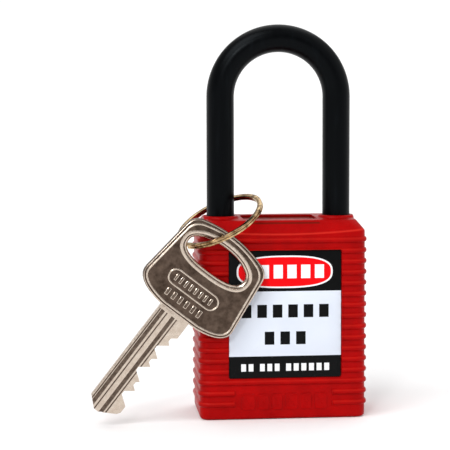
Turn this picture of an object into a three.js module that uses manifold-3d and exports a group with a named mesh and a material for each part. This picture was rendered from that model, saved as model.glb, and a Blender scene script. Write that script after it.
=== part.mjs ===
// Safety padlock: a ribbed nylon body with a nylon shackle, a six pin cylinder, and a key on a split ring.
// Millimetres, +Z up along the shackle, the label faces -Y, and the origin is the centre of the base.
import * as THREE from "three";
import { mergeVertices } from "three/addons/utils/BufferGeometryUtils.js";
import Module from "manifold-3d";

const wasm = await Module();
wasm.setup();

// ---- Driving dimensions ----

// Body
const BODY_WIDTH = 38.1;
const BODY_DEPTH = 20.6;
const BODY_HEIGHT = 45.5;
const BODY_CORNER = 2.4; // radius of the upright corners
const FOOT_BEVEL = 0.8;
const TOP_BEVEL_IN = 2.0;
const TOP_BEVEL_DOWN = 2.4;
const RIB_COUNT = 16;
const RIB_PITCH = 2.5;
const RIB_PROUD = 0.4;
const RIB_FLAT = 0.5; // width of the rib's crest
const COLLAR_WIDE = 1.8; // low cone round each leg, from the bar to its foot
const COLLAR_HEIGHT = 0.5;

// Labels, one on each face
const LABEL_WIDTH = 25.7;
const LABEL_HEIGHT = 29.2;
const LABEL_THICK = 0.25;
const LABEL_SINK = 0.4; // depth of the recess below the flat of the face
const LABEL_SHIFT = 0.4; // label centre from the body's centre, towards +X
const BADGE_WIDTH = 22.5; // plain pad under the front label
const BADGE_HEIGHT = 6.6;

// Shackle
const SHACKLE_RADIUS = 3.175; // a quarter inch bar
const LEG_INSET = 5.575; // leg axis from the side of the body
const CLEARANCE_HEIGHT = 38.1; // from the body's top to the inside of the crown
const TOE_DEPTH = 11.5; // length of the short leg in the body
const HEEL_DEPTH = 27.5; // length of the long leg in the body
const SHACKLE_LIFT = 12;
const SPIGOT_RADIUS = 1.8;
const SPIGOT_LENGTH = 4;
const NOTCH_DEPTH = 1.2;
const SHACKLE_SPRING_WIRE = 0.7;
const SHACKLE_SPRING_TURNS = 7;

// Cylinder
const PLUG_FROM_BAR = 4.3; // plug axis from the inner side of the short leg
const PLUG_RADIUS = 5.2;
const PLUG_PAST_BLADE = 2.1; // plug beyond the end of the key
const PLUG_PAST_HOUSING = 1.6;
const PLUG_FACE_SINK = 0.6; // plug face above the base
const HOUSING_WALL = 2; // round the plug
const CHAMBER_REACH = 8.4; // chamber side of the housing, from the plug
const BIBLE_HALF = 3.6;
const PIN_COUNT = 6;
const PIN_PITCH = 3.15;
const FIRST_PIN = 5.4; // first pin from the plug face
const PIN_RADIUS = 1.3;
const DRIVER_LENGTH = 3.2;
const STRIP_THICK = 0.8; // strip that closes the chambers
const CUT_DEPTHS = [1.2, 2.7, 1.9, 3.1, 1.5, 2.4];
const SPRING_WIRE = 0.36;
const PIN_SPRING_TURNS = 5;

// Cam and bolt
const CRANK_RADIUS = 2.4;
const CRANK_START = 225; // degrees, crank pin from +X when locked
const PLUG_TURN = 90;
const CRANK_PIN_RADIUS = 1;
const CAM_RADIUS = 4.4;
const CAM_THICK = 1.5;
const BOLT_THICK = 3;
const BOLT_RAISE = 2.9; // bolt underside above the end of the short leg
const BOLT_HALF = 4.6;
const BOLT_LENGTH = 12;
const NOSE_HALF = 2.2;

// Base cover
const COVER_THICK = 1.9;
const COVER_RIM = 2; // body rim left round the cover

// Key
const BLADE_PAST_PINS = 6.75; // from the last cut to the tip
const BLADE_HEIGHT = 7.8;
const BLADE_THICK = 2.2;
const BOW_THICK = 2.3;
const BOW_FOOT_HALF = 11.7; // half width near the blade
const BOW_HEAD_HALF = 9.9; // half width at the far end
const BOW_CUT_SIDE = 1.3; // more width on the side of the cuts
const BOW_LENGTH = 22.4;
const BOW_CROWN = 2.4; // how far the far end bulges
const SLOT_HALF_LENGTH = 7.8;
const SLOT_HALF_HEIGHT = 3.2;
const SLOT_FROM_SHOULDER = 15.4;
const GROOVE_WIDTH = 0.9;
const GROOVE_DEPTH = 0.5;
const KEY_TURN = 37.8; // degrees, blade from the vertical
const KEY_STAND_OFF = 0.35; // between the ribs and the back of the bow
const HANG_POINT = [-4.97, 15.5]; // wire in the slot, across and along the key from its shoulder

// Split ring
const RING_ROOM = 6.875; // from the bar's surface to the middle of the wire, as the ring's radius
const RING_WIDE = 1.25;
const RING_THICK = 1.4;
const RING_LEFT = 0.575; // ring centre from the leg's axis, towards -X
const RING_FRONT = 5.2; // and towards -Y
const RING_BELOW_TOP = 0.3; // and below the body's top
const RING_LEAN = 30.2; // degrees from level
const RING_LEAN_TOWARDS = 212; // degrees from +X, the low side

// Clearances
const FIT = 0.05; // running fit of a turned part, on the radius
const SLIDE = 0.15; // sliding fit of a moulded or stamped part
const LOOSE = 0.3; // pieces that only lie beside each other

const DEG = Math.PI / 180;
const SIDES = 20; // sides of the round bars and bores

// ---- Worked out sizes ----

const LEG_X = BODY_WIDTH / 2 - LEG_INSET;
const HALF_DEPTH = BODY_DEPTH / 2;
const RING_RADIUS = SHACKLE_RADIUS + RING_ROOM; // at the middle of the wire
const COLLAR_RADIUS = SHACKLE_RADIUS + COLLAR_WIDE;
const PLUG_X = -LEG_X + SHACKLE_RADIUS + PLUG_FROM_BAR;
const RIB_Z0 = (BODY_HEIGHT - TOP_BEVEL_DOWN - (RIB_COUNT - 1) * RIB_PITCH) / 2 + 0.75;
const LABEL_Z = BODY_HEIGHT / 2 + 1.4;
const LABEL_BASE = LABEL_Z - LABEL_HEIGHT / 2;
const COVER_TOP = COVER_THICK + 0.1;
const TOE_END = BODY_HEIGHT - TOE_DEPTH;
const HEEL_END = BODY_HEIGHT - HEEL_DEPTH;
const LEG_BORE = SHACKLE_RADIUS + SLIDE;
const HEEL_BORE = SHACKLE_RADIUS + 1.05;
const CLIP_THICK = 1;
const CLIP_TOP = HEEL_END + 2.4;
const HEEL_LEDGE = CLIP_TOP + SHACKLE_LIFT + LOOSE;
const BLADE_LENGTH = FIRST_PIN + (PIN_COUNT - 1) * PIN_PITCH + BLADE_PAST_PINS;
const PLUG_END = PLUG_FACE_SINK + BLADE_LENGTH + PLUG_PAST_BLADE;
const HOUSING_RADIUS = PLUG_RADIUS + HOUSING_WALL;
const HOUSING_END = PLUG_END - PLUG_PAST_HOUSING;
const BIBLE_REACH = PLUG_RADIUS + CHAMBER_REACH;
const CAM_BASE = PLUG_END + FIT;
const CAM_TOP = CAM_BASE + CAM_THICK;
const BOLT_BASE = TOE_END + BOLT_RAISE;
const BOLT_TOP = BOLT_BASE + BOLT_THICK;
const BOLT_TRAVEL = 2 * CRANK_RADIUS * Math.sin((PLUG_TURN / 2) * DEG);
const NOTCH_FLOOR = -LEG_X + SHACKLE_RADIUS - NOTCH_DEPTH;
const NOSE_TIP = NOTCH_FLOOR + SLIDE;
const CRANK_X = PLUG_X + CRANK_RADIUS * Math.cos(CRANK_START * DEG);
const CRANK_Y = CRANK_RADIUS * Math.sin(CRANK_START * DEG);
const BOLT_SHOULDER = CRANK_X - CRANK_PIN_RADIUS - 1;
const BOLT_TAIL = BOLT_SHOULDER + BOLT_LENGTH;
const CAVITY_LEFT = PLUG_X - HOUSING_RADIUS - SLIDE;
const CAVITY_RIGHT = PLUG_X + BIBLE_REACH + SLIDE;
const GUIDE_BASE = CAM_TOP + LOOSE;
const GUIDE_TOP = BOLT_TOP + 1.6;
const GUIDE_LEFT = BOLT_SHOULDER - SLIDE;
const GUIDE_RIGHT = BOLT_TAIL + BOLT_TRAVEL + 1;
const GUIDE_HALF = BOLT_HALF + SLIDE + 1.5;
const KEYWAY_TOP = BLADE_HEIGHT / 2 - 0.35; // cut side of the key, from the plug axis
const KEYWAY_HALF = BLADE_THICK / 2 + 0.1;
const PIN_END = Math.sqrt(PLUG_RADIUS ** 2 - PIN_RADIUS ** 2) - FIT;
const DRIVER_START = PLUG_RADIUS + 3 * FIT;
const CHAMBER_END = BIBLE_REACH - STRIP_THICK;
const ROLL_PIN_X = PLUG_X + HOUSING_RADIUS + 2.4;
const ROLL_PIN_Z = HOUSING_END - 2.4;
const ROLL_PIN_RADIUS = 1;

// ---- Finishes ----

function finish(colour, roughness, metalness) {
  return () => new THREE.MeshStandardMaterial({ color: colour, roughness, metalness });
}
const redNylon = finish(0xb50408, 0.5, 0);
const blackNylon = finish(0x101114, 0.35, 0);
const blackPlastic = finish(0x1a1a1c, 0.6, 0);
const vinyl = finish(0xe6ebf5, 0.4, 0);
const brass = finish(0xb9954e, 0.35, 0.9);
const steel = finish(0x9a9c9f, 0.35, 0.9);
const springSteel = finish(0x7d8085, 0.3, 0.9);
const nickel = finish(0xa49a8e, 0.35, 0.9);
const brassPlate = finish(0xb0904c, 0.3, 0.9);

// ---- Solids ----

function solid(geometry) {
  geometry.deleteAttribute("normal");
  geometry.deleteAttribute("uv");
  const merged = mergeVertices(geometry, 1e-4);
  return new wasm.Manifold(
    new wasm.Mesh({
      numProp: 3,
      vertProperties: new Float32Array(merged.attributes.position.array),
      triVerts: new Uint32Array(merged.index.array),
    }),
  );
}

function geometryOf(body) {
  const mesh = body.getMesh();
  const geometry = new THREE.BufferGeometry();
  geometry.setAttribute("position", new THREE.BufferAttribute(mesh.vertProperties, 3));
  geometry.setIndex(new THREE.BufferAttribute(mesh.triVerts, 1));
  const faceted = geometry.toNonIndexed();
  faceted.computeVertexNormals();
  return faceted;
}

// A box from its lowest to its highest corner.
function box(x0, x1, y0, y1, z0, z1) {
  const geometry = new THREE.BoxGeometry(x1 - x0, y1 - y0, z1 - z0);
  geometry.translate((x0 + x1) / 2, (y0 + y1) / 2, (z0 + z1) / 2);
  return solid(geometry);
}

// An upright round bar, or a cone where the top radius differs.
function rod(x, y, z0, z1, radius, topRadius = radius, sides = SIDES) {
  const geometry = new THREE.CylinderGeometry(topRadius, radius, z1 - z0, sides);
  geometry.rotateX(Math.PI / 2);
  geometry.translate(x, y, (z0 + z1) / 2);
  return solid(geometry);
}

// A round bar that lies along X.
function rodAlongX(x0, x1, y, z, radius, sides = 12) {
  const geometry = new THREE.CylinderGeometry(radius, radius, x1 - x0, sides);
  geometry.rotateZ(-Math.PI / 2);
  geometry.translate((x0 + x1) / 2, y, z);
  return solid(geometry);
}

// A round bar that lies along Y.
function rodAlongY(y0, y1, x, z, radius, sides = 12) {
  const geometry = new THREE.CylinderGeometry(radius, radius, y1 - y0, sides);
  geometry.translate(x, (y0 + y1) / 2, z);
  return solid(geometry);
}

function roundedRectangle(width, depth, radius) {
  const w = width / 2;
  const d = depth / 2;
  const shape = new THREE.Shape();
  shape.moveTo(-w + radius, -d);
  shape.lineTo(w - radius, -d);
  shape.absarc(w - radius, -d + radius, radius, -Math.PI / 2, 0);
  shape.lineTo(w, d - radius);
  shape.absarc(w - radius, d - radius, radius, 0, Math.PI / 2);
  shape.lineTo(-w + radius, d);
  shape.absarc(-w + radius, d - radius, radius, Math.PI / 2, Math.PI);
  shape.lineTo(-w, -d + radius);
  shape.absarc(-w + radius, -d + radius, radius, Math.PI, 1.5 * Math.PI);
  return shape;
}

// A rounded block that stands on z0, with a bevel at both ends that keeps the full outline between them.
function block(width, depth, radius, z0, z1, bevelIn = 0, bevelUp = 0, x = 0, y = 0) {
  const bevelled = bevelIn > 0;
  const shape = roundedRectangle(width - 2 * bevelIn, depth - 2 * bevelIn, Math.max(radius - bevelIn, 0.3));
  const geometry = new THREE.ExtrudeGeometry(shape, {
    depth: z1 - z0 - 2 * bevelUp,
    curveSegments: 2,
    bevelEnabled: bevelled,
    bevelSize: bevelIn,
    bevelThickness: bevelUp,
    bevelSegments: 1,
  });
  geometry.translate(x, y, z0 + bevelUp);
  return solid(geometry);
}

function union(pieces) {
  return pieces.reduce((all, piece) => all.add(piece));
}

function cut(body, tools) {
  return body.subtract(union(tools));
}

// A closed coil of round wire that stands on z = 0.
function coil(radius, wire, height, turns, stepsPerTurn, sides) {
  class Helix extends THREE.Curve {
    getPoint(t, target = new THREE.Vector3()) {
      const angle = 2 * Math.PI * turns * t;
      const rise = wire / 2 + (height - wire) * t;
      return target.set(radius * Math.cos(angle), radius * Math.sin(angle), rise);
    }
  }
  const section = new THREE.Shape();
  section.absarc(0, 0, wire / 2, 0, 2 * Math.PI);
  return new THREE.ExtrudeGeometry(section, {
    steps: turns * stepsPerTurn,
    curveSegments: sides / 2, // a full circle gets two sides for each
    extrudePath: new Helix(),
    bevelEnabled: false,
  });
}

// A ring of rectangular section round Z, open by the given angle so that it snaps into a groove.
function snapRing(inner, outer, thick, openAngle) {
  const half = openAngle / 2;
  const shape = new THREE.Shape();
  shape.absarc(0, 0, outer, half, 2 * Math.PI - half);
  shape.absarc(0, 0, inner, 2 * Math.PI - half, half, true);
  return new THREE.ExtrudeGeometry(shape, { depth: thick, curveSegments: 9, bevelEnabled: false });
}

// ---- The scene ----

const padlock = new THREE.Group();

function place(parent, name, geometry, material, x = 0, y = 0, z = 0) {
  const mesh = new THREE.Mesh(geometry, material());
  mesh.name = name;
  mesh.position.set(x, y, z);
  parent.add(mesh);
  return mesh;
}

// ---- Body ----

function labelRecess(side) {
  const face = side * HALF_DEPTH;
  const inner = face - side * LABEL_SINK;
  const outer = face + side * (RIB_PROUD + 1);
  const half = LABEL_WIDTH / 2 + SLIDE;
  return box(
    side * -LABEL_SHIFT - half,
    side * -LABEL_SHIFT + half,
    Math.min(inner, outer),
    Math.max(inner, outer),
    LABEL_BASE - SLIDE,
    LABEL_BASE + LABEL_HEIGHT + SLIDE,
  );
}

function makeBody() {
  const tall = BODY_HEIGHT + TOP_BEVEL_DOWN + 1;
  const footed = block(BODY_WIDTH, BODY_DEPTH, BODY_CORNER, 0, tall, FOOT_BEVEL, FOOT_BEVEL);
  const topped = block(
    BODY_WIDTH,
    BODY_DEPTH,
    BODY_CORNER,
    -TOP_BEVEL_DOWN - 1,
    BODY_HEIGHT,
    TOP_BEVEL_IN,
    TOP_BEVEL_DOWN,
  );
  const pieces = [footed.intersect(topped)];
  for (let i = 0; i < RIB_COUNT; i++) {
    const z = RIB_Z0 + i * RIB_PITCH;
    const half = RIB_FLAT / 2 + RIB_PROUD;
    const width = BODY_WIDTH + 2 * RIB_PROUD;
    const depth = BODY_DEPTH + 2 * RIB_PROUD;
    pieces.push(block(width, depth, BODY_CORNER + RIB_PROUD, z - half, z + half, RIB_PROUD, RIB_PROUD));
  }
  for (const x of [-LEG_X, LEG_X]) {
    const collarTop = BODY_HEIGHT + COLLAR_HEIGHT;
    pieces.push(rod(x, 0, BODY_HEIGHT - 1, collarTop, COLLAR_RADIUS, COLLAR_RADIUS - 1));
  }
  const over = BODY_HEIGHT + 5;
  const badgeHalf = BADGE_WIDTH / 2;
  const guideHalf = GUIDE_HALF + SLIDE;
  const cavityHalf = HOUSING_RADIUS + SLIDE;
  const coverWidth = BODY_WIDTH - 2 * COVER_RIM;
  const coverDepth = BODY_DEPTH - 2 * COVER_RIM;
  return cut(union(pieces), [
    labelRecess(-1),
    labelRecess(1),
    // plain pad where the ribs stop under the front label
    box(-badgeHalf, badgeHalf, -HALF_DEPTH - 2, -HALF_DEPTH, FOOT_BEVEL, FOOT_BEVEL + BADGE_HEIGHT),
    // seat of the base cover
    block(coverWidth, coverDepth, BODY_CORNER, -1, COVER_TOP),
    // cylinder cavity
    rod(PLUG_X, 0, 1, HOUSING_END + SLIDE, cavityHalf, cavityHalf, 32),
    box(PLUG_X, CAVITY_RIGHT, -BIBLE_HALF - SLIDE, BIBLE_HALF + SLIDE, 1, HOUSING_END + SLIDE),
    // room for the clip and the cam, up to the bolt guide
    rod(PLUG_X, 0, HOUSING_END, GUIDE_BASE + 0.5, cavityHalf - 0.4, cavityHalf - 0.4, 32),
    box(GUIDE_LEFT - SLIDE, GUIDE_RIGHT + SLIDE, -guideHalf, guideHalf, HOUSING_END, GUIDE_TOP + SLIDE),
    // way for the bolt's nose into the short leg's socket
    box(-LEG_X, GUIDE_LEFT, -NOSE_HALF - SLIDE, NOSE_HALF + SLIDE, BOLT_BASE - SLIDE, BOLT_TOP + SLIDE),
    // sockets of the two legs
    rod(-LEG_X, 0, TOE_END - LOOSE, over, LEG_BORE),
    rod(LEG_X, 0, 1, over, LEG_BORE),
    rod(LEG_X, 0, 1, HEEL_LEDGE, HEEL_BORE),
    // hole of the roll pin, from the rear label's recess
    rodAlongY(-BIBLE_HALF - 3, HALF_DEPTH, ROLL_PIN_X, ROLL_PIN_Z, ROLL_PIN_RADIUS + FIT),
  ]);
}

function makeCover() {
  const width = BODY_WIDTH - 2 * COVER_RIM - 2 * SLIDE;
  const depth = BODY_DEPTH - 2 * COVER_RIM - 2 * SLIDE;
  return cut(block(width, depth, BODY_CORNER - SLIDE, 0, COVER_THICK), [
    rod(PLUG_X, 0, -1, COVER_THICK + 1, PLUG_RADIUS + LOOSE, PLUG_RADIUS + LOOSE, 32),
  ]);
}

place(padlock, "lock_body", geometryOf(makeBody()), redNylon);
place(padlock, "bottom_cover", geometryOf(makeCover()), blackPlastic);

const labelGeometry = () => new THREE.BoxGeometry(LABEL_WIDTH, LABEL_THICK, LABEL_HEIGHT);
const labelY = HALF_DEPTH - LABEL_SINK + LABEL_THICK / 2 + 0.02;
place(padlock, "front_label", labelGeometry(), vinyl, LABEL_SHIFT, -labelY, LABEL_Z);
place(padlock, "rear_label", labelGeometry(), vinyl, -LABEL_SHIFT, labelY, LABEL_Z);

// ---- Shackle ----

const CROWN_Z = BODY_HEIGHT + CLEARANCE_HEIGHT - LEG_X + SHACKLE_RADIUS;
const CROWN_STEPS = 22;

// The bar's centre line, from the end of the short leg over the crown to the end of the long leg.
class BarLine extends THREE.Curve {
  getPoint(t, target = new THREE.Vector3()) {
    const step = t * (CROWN_STEPS + 2);
    if (step < 1) return target.set(-LEG_X, 0, TOE_END + (CROWN_Z - TOE_END) * step);
    const left = CROWN_STEPS + 2 - step;
    if (left < 1) return target.set(LEG_X, 0, HEEL_END + (CROWN_Z - HEEL_END) * left);
    const angle = Math.PI * (1 - (step - 1) / CROWN_STEPS);
    return target.set(LEG_X * Math.cos(angle), 0, CROWN_Z + LEG_X * Math.sin(angle));
  }

  // Each straight leg is one step, so the steps aren't of equal length.
  getUtoTmapping(u) {
    return u;
  }
}

function makeShackle() {
  const section = new THREE.Shape();
  section.absarc(0, 0, SHACKLE_RADIUS, 0, 2 * Math.PI);
  const bar = solid(
    new THREE.ExtrudeGeometry(section, {
      steps: CROWN_STEPS + 2,
      curveSegments: SIDES / 2, // a full circle gets two sides for each
      extrudePath: new BarLine(),
      bevelEnabled: false,
    }),
  );
  const spigot = rod(LEG_X, 0, HEEL_END - SPIGOT_LENGTH, HEEL_END + 1, SPIGOT_RADIUS);
  const chamfer = rod(-LEG_X, 0, TOE_END - 1, TOE_END + 0.8, SHACKLE_RADIUS + 1);
  const cone = rod(-LEG_X, 0, TOE_END - 1.1, TOE_END + 0.9, SHACKLE_RADIUS - 1, SHACKLE_RADIUS + 0.4);
  const groove = rod(LEG_X, 0, CLIP_TOP - CLIP_THICK - FIT, CLIP_TOP + FIT, SHACKLE_RADIUS + 1);
  const core = rod(LEG_X, 0, CLIP_TOP - CLIP_THICK - 1, CLIP_TOP + 1, SHACKLE_RADIUS - 1);
  return cut(bar.add(spigot), [groove.subtract(core), chamfer.subtract(cone), makeNotch()]);
}

// The notch in the short leg. Its lower side is a ramp, so that the bolt leaves it as the leg rises.
function makeNotch() {
  const slope = BOLT_TRAVEL / SHACKLE_LIFT;
  const low = BOLT_BASE - SLIDE;
  const high = BOLT_TOP + SLIDE;
  const out = -LEG_X + SHACKLE_RADIUS + 1;
  const rampDown = (out - NOTCH_FLOOR) / slope;
  const shape = new THREE.Shape();
  shape.moveTo(NOTCH_FLOOR, low);
  shape.lineTo(out, low - rampDown);
  shape.lineTo(out, high + out - NOTCH_FLOOR);
  shape.lineTo(NOTCH_FLOOR, high);
  const geometry = new THREE.ExtrudeGeometry(shape, { depth: 4 * SHACKLE_RADIUS, bevelEnabled: false });
  geometry.rotateX(Math.PI / 2);
  geometry.translate(0, 2 * SHACKLE_RADIUS, 0);
  return solid(geometry);
}

place(padlock, "shackle", geometryOf(makeShackle()), blackNylon);

const springRoom = HEEL_END - COVER_TOP;
const springMean = SPIGOT_RADIUS + 1.1;
const heelSpring = coil(springMean, SHACKLE_SPRING_WIRE, springRoom - 0.2, SHACKLE_SPRING_TURNS, 12, 6);
place(padlock, "shackle_spring", heelSpring, springSteel, LEG_X, 0, COVER_TOP + 0.1);
place(
  padlock,
  "shackle_retaining_clip",
  snapRing(SHACKLE_RADIUS - 1 + FIT, HEEL_BORE - SLIDE, CLIP_THICK - FIT, 1.6),
  steel,
  LEG_X,
  0,
  CLIP_TOP - CLIP_THICK + FIT / 2,
);

// ---- Cylinder ----

const cylinder = new THREE.Group();
cylinder.position.set(PLUG_X, 0, 0);
padlock.add(cylinder);

const pinHeights = [];
for (let i = 0; i < PIN_COUNT; i++) pinHeights.push(PLUG_FACE_SINK + FIRST_PIN + i * PIN_PITCH);

function makeHousing() {
  const chamberRadius = PIN_RADIUS + FIT;
  const shell = union([
    rod(0, 0, COVER_TOP, HOUSING_END, HOUSING_RADIUS, HOUSING_RADIUS, 32),
    box(PLUG_RADIUS - 1, BIBLE_REACH, -BIBLE_HALF, BIBLE_HALF, COVER_TOP, HOUSING_END),
  ]);
  const stripHalf = PIN_RADIUS + 0.7;
  const chambers = pinHeights.map((z) => rodAlongX(0, BIBLE_REACH, 0, z, chamberRadius));
  return cut(shell, [
    rod(0, 0, 0, HOUSING_END + 1, PLUG_RADIUS + FIT, PLUG_RADIUS + FIT, 32),
    ...chambers,
    box(CHAMBER_END, BIBLE_REACH + 1, -stripHalf, stripHalf, stripStart(), stripEnd()),
    rodAlongY(-BIBLE_HALF - 1, BIBLE_HALF + 1, ROLL_PIN_X - PLUG_X, ROLL_PIN_Z, ROLL_PIN_RADIUS + FIT),
  ]);
}

function stripStart() {
  return pinHeights[0] - PIN_RADIUS - 1;
}

function stripEnd() {
  return pinHeights[PIN_COUNT - 1] + PIN_RADIUS + 1;
}

function makePlug() {
  const clipBase = HOUSING_END + LOOSE;
  const bladeSide = KEYWAY_TOP - BLADE_HEIGHT - 0.2;
  const keywayEnd = PLUG_FACE_SINK + BLADE_LENGTH + 0.5;
  const wards = grooveCentres().map((centre, i) => {
    const x = KEYWAY_TOP - BLADE_HEIGHT / 2 + centre;
    const side = i % 2 ? 1 : -1;
    const half = GROOVE_WIDTH / 2 - SLIDE;
    const inner = side * (KEYWAY_HALF - GROOVE_DEPTH + SLIDE);
    const outer = side * (KEYWAY_HALF + 0.2);
    return box(x - half, x + half, Math.min(inner, outer), Math.max(inner, outer), -1, keywayEnd + 1);
  });
  const keyway = box(bladeSide, KEYWAY_TOP + 0.1, -KEYWAY_HALF, KEYWAY_HALF, -1, keywayEnd);
  const groove = rod(0, 0, clipBase, clipBase + 0.8, PLUG_RADIUS + 1, PLUG_RADIUS + 1, 32);
  return cut(rod(0, 0, PLUG_FACE_SINK, PLUG_END, PLUG_RADIUS, PLUG_RADIUS, 32), [
    keyway.subtract(union(wards)),
    ...pinHeights.map((z) => rodAlongX(0, PLUG_RADIUS + 1, 0, z, PIN_RADIUS + FIT)),
    groove.subtract(rod(0, 0, clipBase - 1, clipBase + 2, PLUG_RADIUS - 0.7, PLUG_RADIUS - 0.7, 32)),
  ]);
}

// Grooves along the key and the matching wards, from the middle of the blade towards its cut side.
function grooveCentres() {
  return [-2.6, -1.2, 0.2];
}

place(cylinder, "cylinder_housing", geometryOf(makeHousing()), brass);
place(cylinder, "plug", geometryOf(makePlug()), brass);
place(
  cylinder,
  "plug_retaining_clip",
  snapRing(PLUG_RADIUS - 0.7 + FIT, PLUG_RADIUS + 1.2, 0.6, 1.2),
  springSteel,
  0,
  0,
  HOUSING_END + LOOSE + 0.1,
);
place(
  cylinder,
  "pin_chamber_cover",
  geometryOf(
    box(
      CHAMBER_END + 0.02,
      BIBLE_REACH,
      -PIN_RADIUS - 0.7 + FIT,
      PIN_RADIUS + 0.7 - FIT,
      stripStart() + FIT,
      stripEnd() - FIT,
    ),
  ),
  brass,
);

// A pin with one rounded-off end, standing on that end.
function pinGeometry(length, tip) {
  const profile = [
    new THREE.Vector2(0, 0),
    new THREE.Vector2(PIN_RADIUS * 0.35, 0),
    new THREE.Vector2(PIN_RADIUS, tip),
    new THREE.Vector2(PIN_RADIUS, length),
    new THREE.Vector2(0, length),
  ];
  const geometry = new THREE.LatheGeometry(profile, 12);
  geometry.rotateX(Math.PI / 2); // axis to +Z
  return geometry;
}

for (let i = 0; i < PIN_COUNT; i++) {
  const stack = new THREE.Group();
  stack.position.set(0, 0, pinHeights[i]);
  stack.rotation.y = Math.PI / 2; // its own +Z points out along +X
  cylinder.add(stack);
  const seat = KEYWAY_TOP - CUT_DEPTHS[i] + FIT;
  const driverEnd = DRIVER_START + DRIVER_LENGTH;
  place(stack, "key_pin_" + (i + 1), pinGeometry(PIN_END - seat, 0.8), brass, 0, 0, seat);
  place(stack, "driver_pin_" + (i + 1), pinGeometry(DRIVER_LENGTH, 0.1), steel, 0, 0, DRIVER_START);
  const springLength = CHAMBER_END - driverEnd - 0.2;
  const springRadius = PIN_RADIUS - SPRING_WIRE / 2 - 0.08;
  const spring = coil(springRadius, SPRING_WIRE, springLength, PIN_SPRING_TURNS, 8, 4);
  place(stack, "pin_spring_" + (i + 1), spring, springSteel, 0, 0, driverEnd + 0.1);
}

function makeRollPin() {
  const length = BIBLE_HALF + 2.5 + HALF_DEPTH - LABEL_SINK - 0.3;
  const geometry = snapRing(ROLL_PIN_RADIUS - 0.35, ROLL_PIN_RADIUS, length, 0.9);
  geometry.rotateX(-Math.PI / 2);
  geometry.translate(0, -BIBLE_HALF - 2.5, 0);
  return geometry;
}
place(padlock, "housing_roll_pin", makeRollPin(), springSteel, ROLL_PIN_X, 0, ROLL_PIN_Z);

// ---- Cam, bolt and bolt guide ----

function makeCam() {
  return union([
    rod(PLUG_X, 0, CAM_BASE, CAM_TOP, CAM_RADIUS, CAM_RADIUS, 28),
    rod(CRANK_X, CRANK_Y, CAM_BASE + 0.2, BOLT_TOP - 0.3, CRANK_PIN_RADIUS, CRANK_PIN_RADIUS, 14),
  ]);
}

function makeBolt() {
  const slotHalf = CRANK_PIN_RADIUS + SLIDE;
  const slotLow = -CRANK_RADIUS - CRANK_PIN_RADIUS - SLIDE;
  const slotHigh = CRANK_Y + CRANK_PIN_RADIUS + SLIDE;
  const plate = union([
    box(BOLT_SHOULDER, BOLT_TAIL, -BOLT_HALF, BOLT_HALF, BOLT_BASE, BOLT_TOP),
    box(NOSE_TIP, BOLT_SHOULDER + 1, -NOSE_HALF, NOSE_HALF, BOLT_BASE, BOLT_TOP),
  ]);
  return cut(plate, [
    box(CRANK_X - slotHalf, CRANK_X + slotHalf, slotLow, slotHigh, BOLT_BASE - 1, BOLT_TOP + 1),
    // window that lightens the plate
    box(BOLT_SHOULDER + 5.5, BOLT_TAIL - 2, -BOLT_HALF + 2, BOLT_HALF - 2, BOLT_BASE - 1, BOLT_TOP + 1),
  ]);
}

function makeGuide() {
  const channel = BOLT_HALF + SLIDE;
  const crankSweep = CRANK_RADIUS + CRANK_PIN_RADIUS + LOOSE;
  const block0 = box(GUIDE_LEFT, GUIDE_RIGHT, -GUIDE_HALF, GUIDE_HALF, GUIDE_BASE, GUIDE_TOP);
  return cut(block0, [
    box(GUIDE_LEFT - 1, GUIDE_RIGHT - 0.9, -channel, channel, BOLT_BASE - SLIDE, BOLT_TOP + SLIDE),
    rod(PLUG_X, 0, GUIDE_BASE - 1, BOLT_BASE, crankSweep, crankSweep, 28),
  ]);
}

place(padlock, "tail_cam", geometryOf(makeCam()), steel);
place(padlock, "locking_bolt", geometryOf(makeBolt()), steel);
place(padlock, "bolt_guide", geometryOf(makeGuide()), blackPlastic);

// ---- Key ----

// Blade outline: the tip is at the bottom and the cuts are on the +X side.
function bladeShape() {
  const half = BLADE_HEIGHT / 2;
  const shape = new THREE.Shape();
  shape.moveTo(-half, 1);
  shape.lineTo(-half, -BLADE_LENGTH + 2.2);
  shape.lineTo(-half + 2.4, -BLADE_LENGTH);
  shape.lineTo(-0.2, -BLADE_LENGTH);
  shape.lineTo(half - 1.4, -BLADE_LENGTH + 2.8);
  for (let i = PIN_COUNT - 1; i >= 0; i--) {
    const y = -FIRST_PIN - i * PIN_PITCH;
    const root = half - CUT_DEPTHS[i];
    const rise = Math.min(CUT_DEPTHS[i], PIN_PITCH / 2 - 0.4);
    shape.lineTo(root + rise * 0.9, y - PIN_PITCH / 2 + 0.1);
    shape.lineTo(root, y - 0.4);
    shape.lineTo(root, y + 0.4);
    shape.lineTo(root + rise * 0.9, y + PIN_PITCH / 2 - 0.1);
  }
  shape.lineTo(half, -FIRST_PIN + PIN_PITCH / 2 + CUT_DEPTHS[0]);
  shape.lineTo(half, 1);
  return shape;
}

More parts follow.
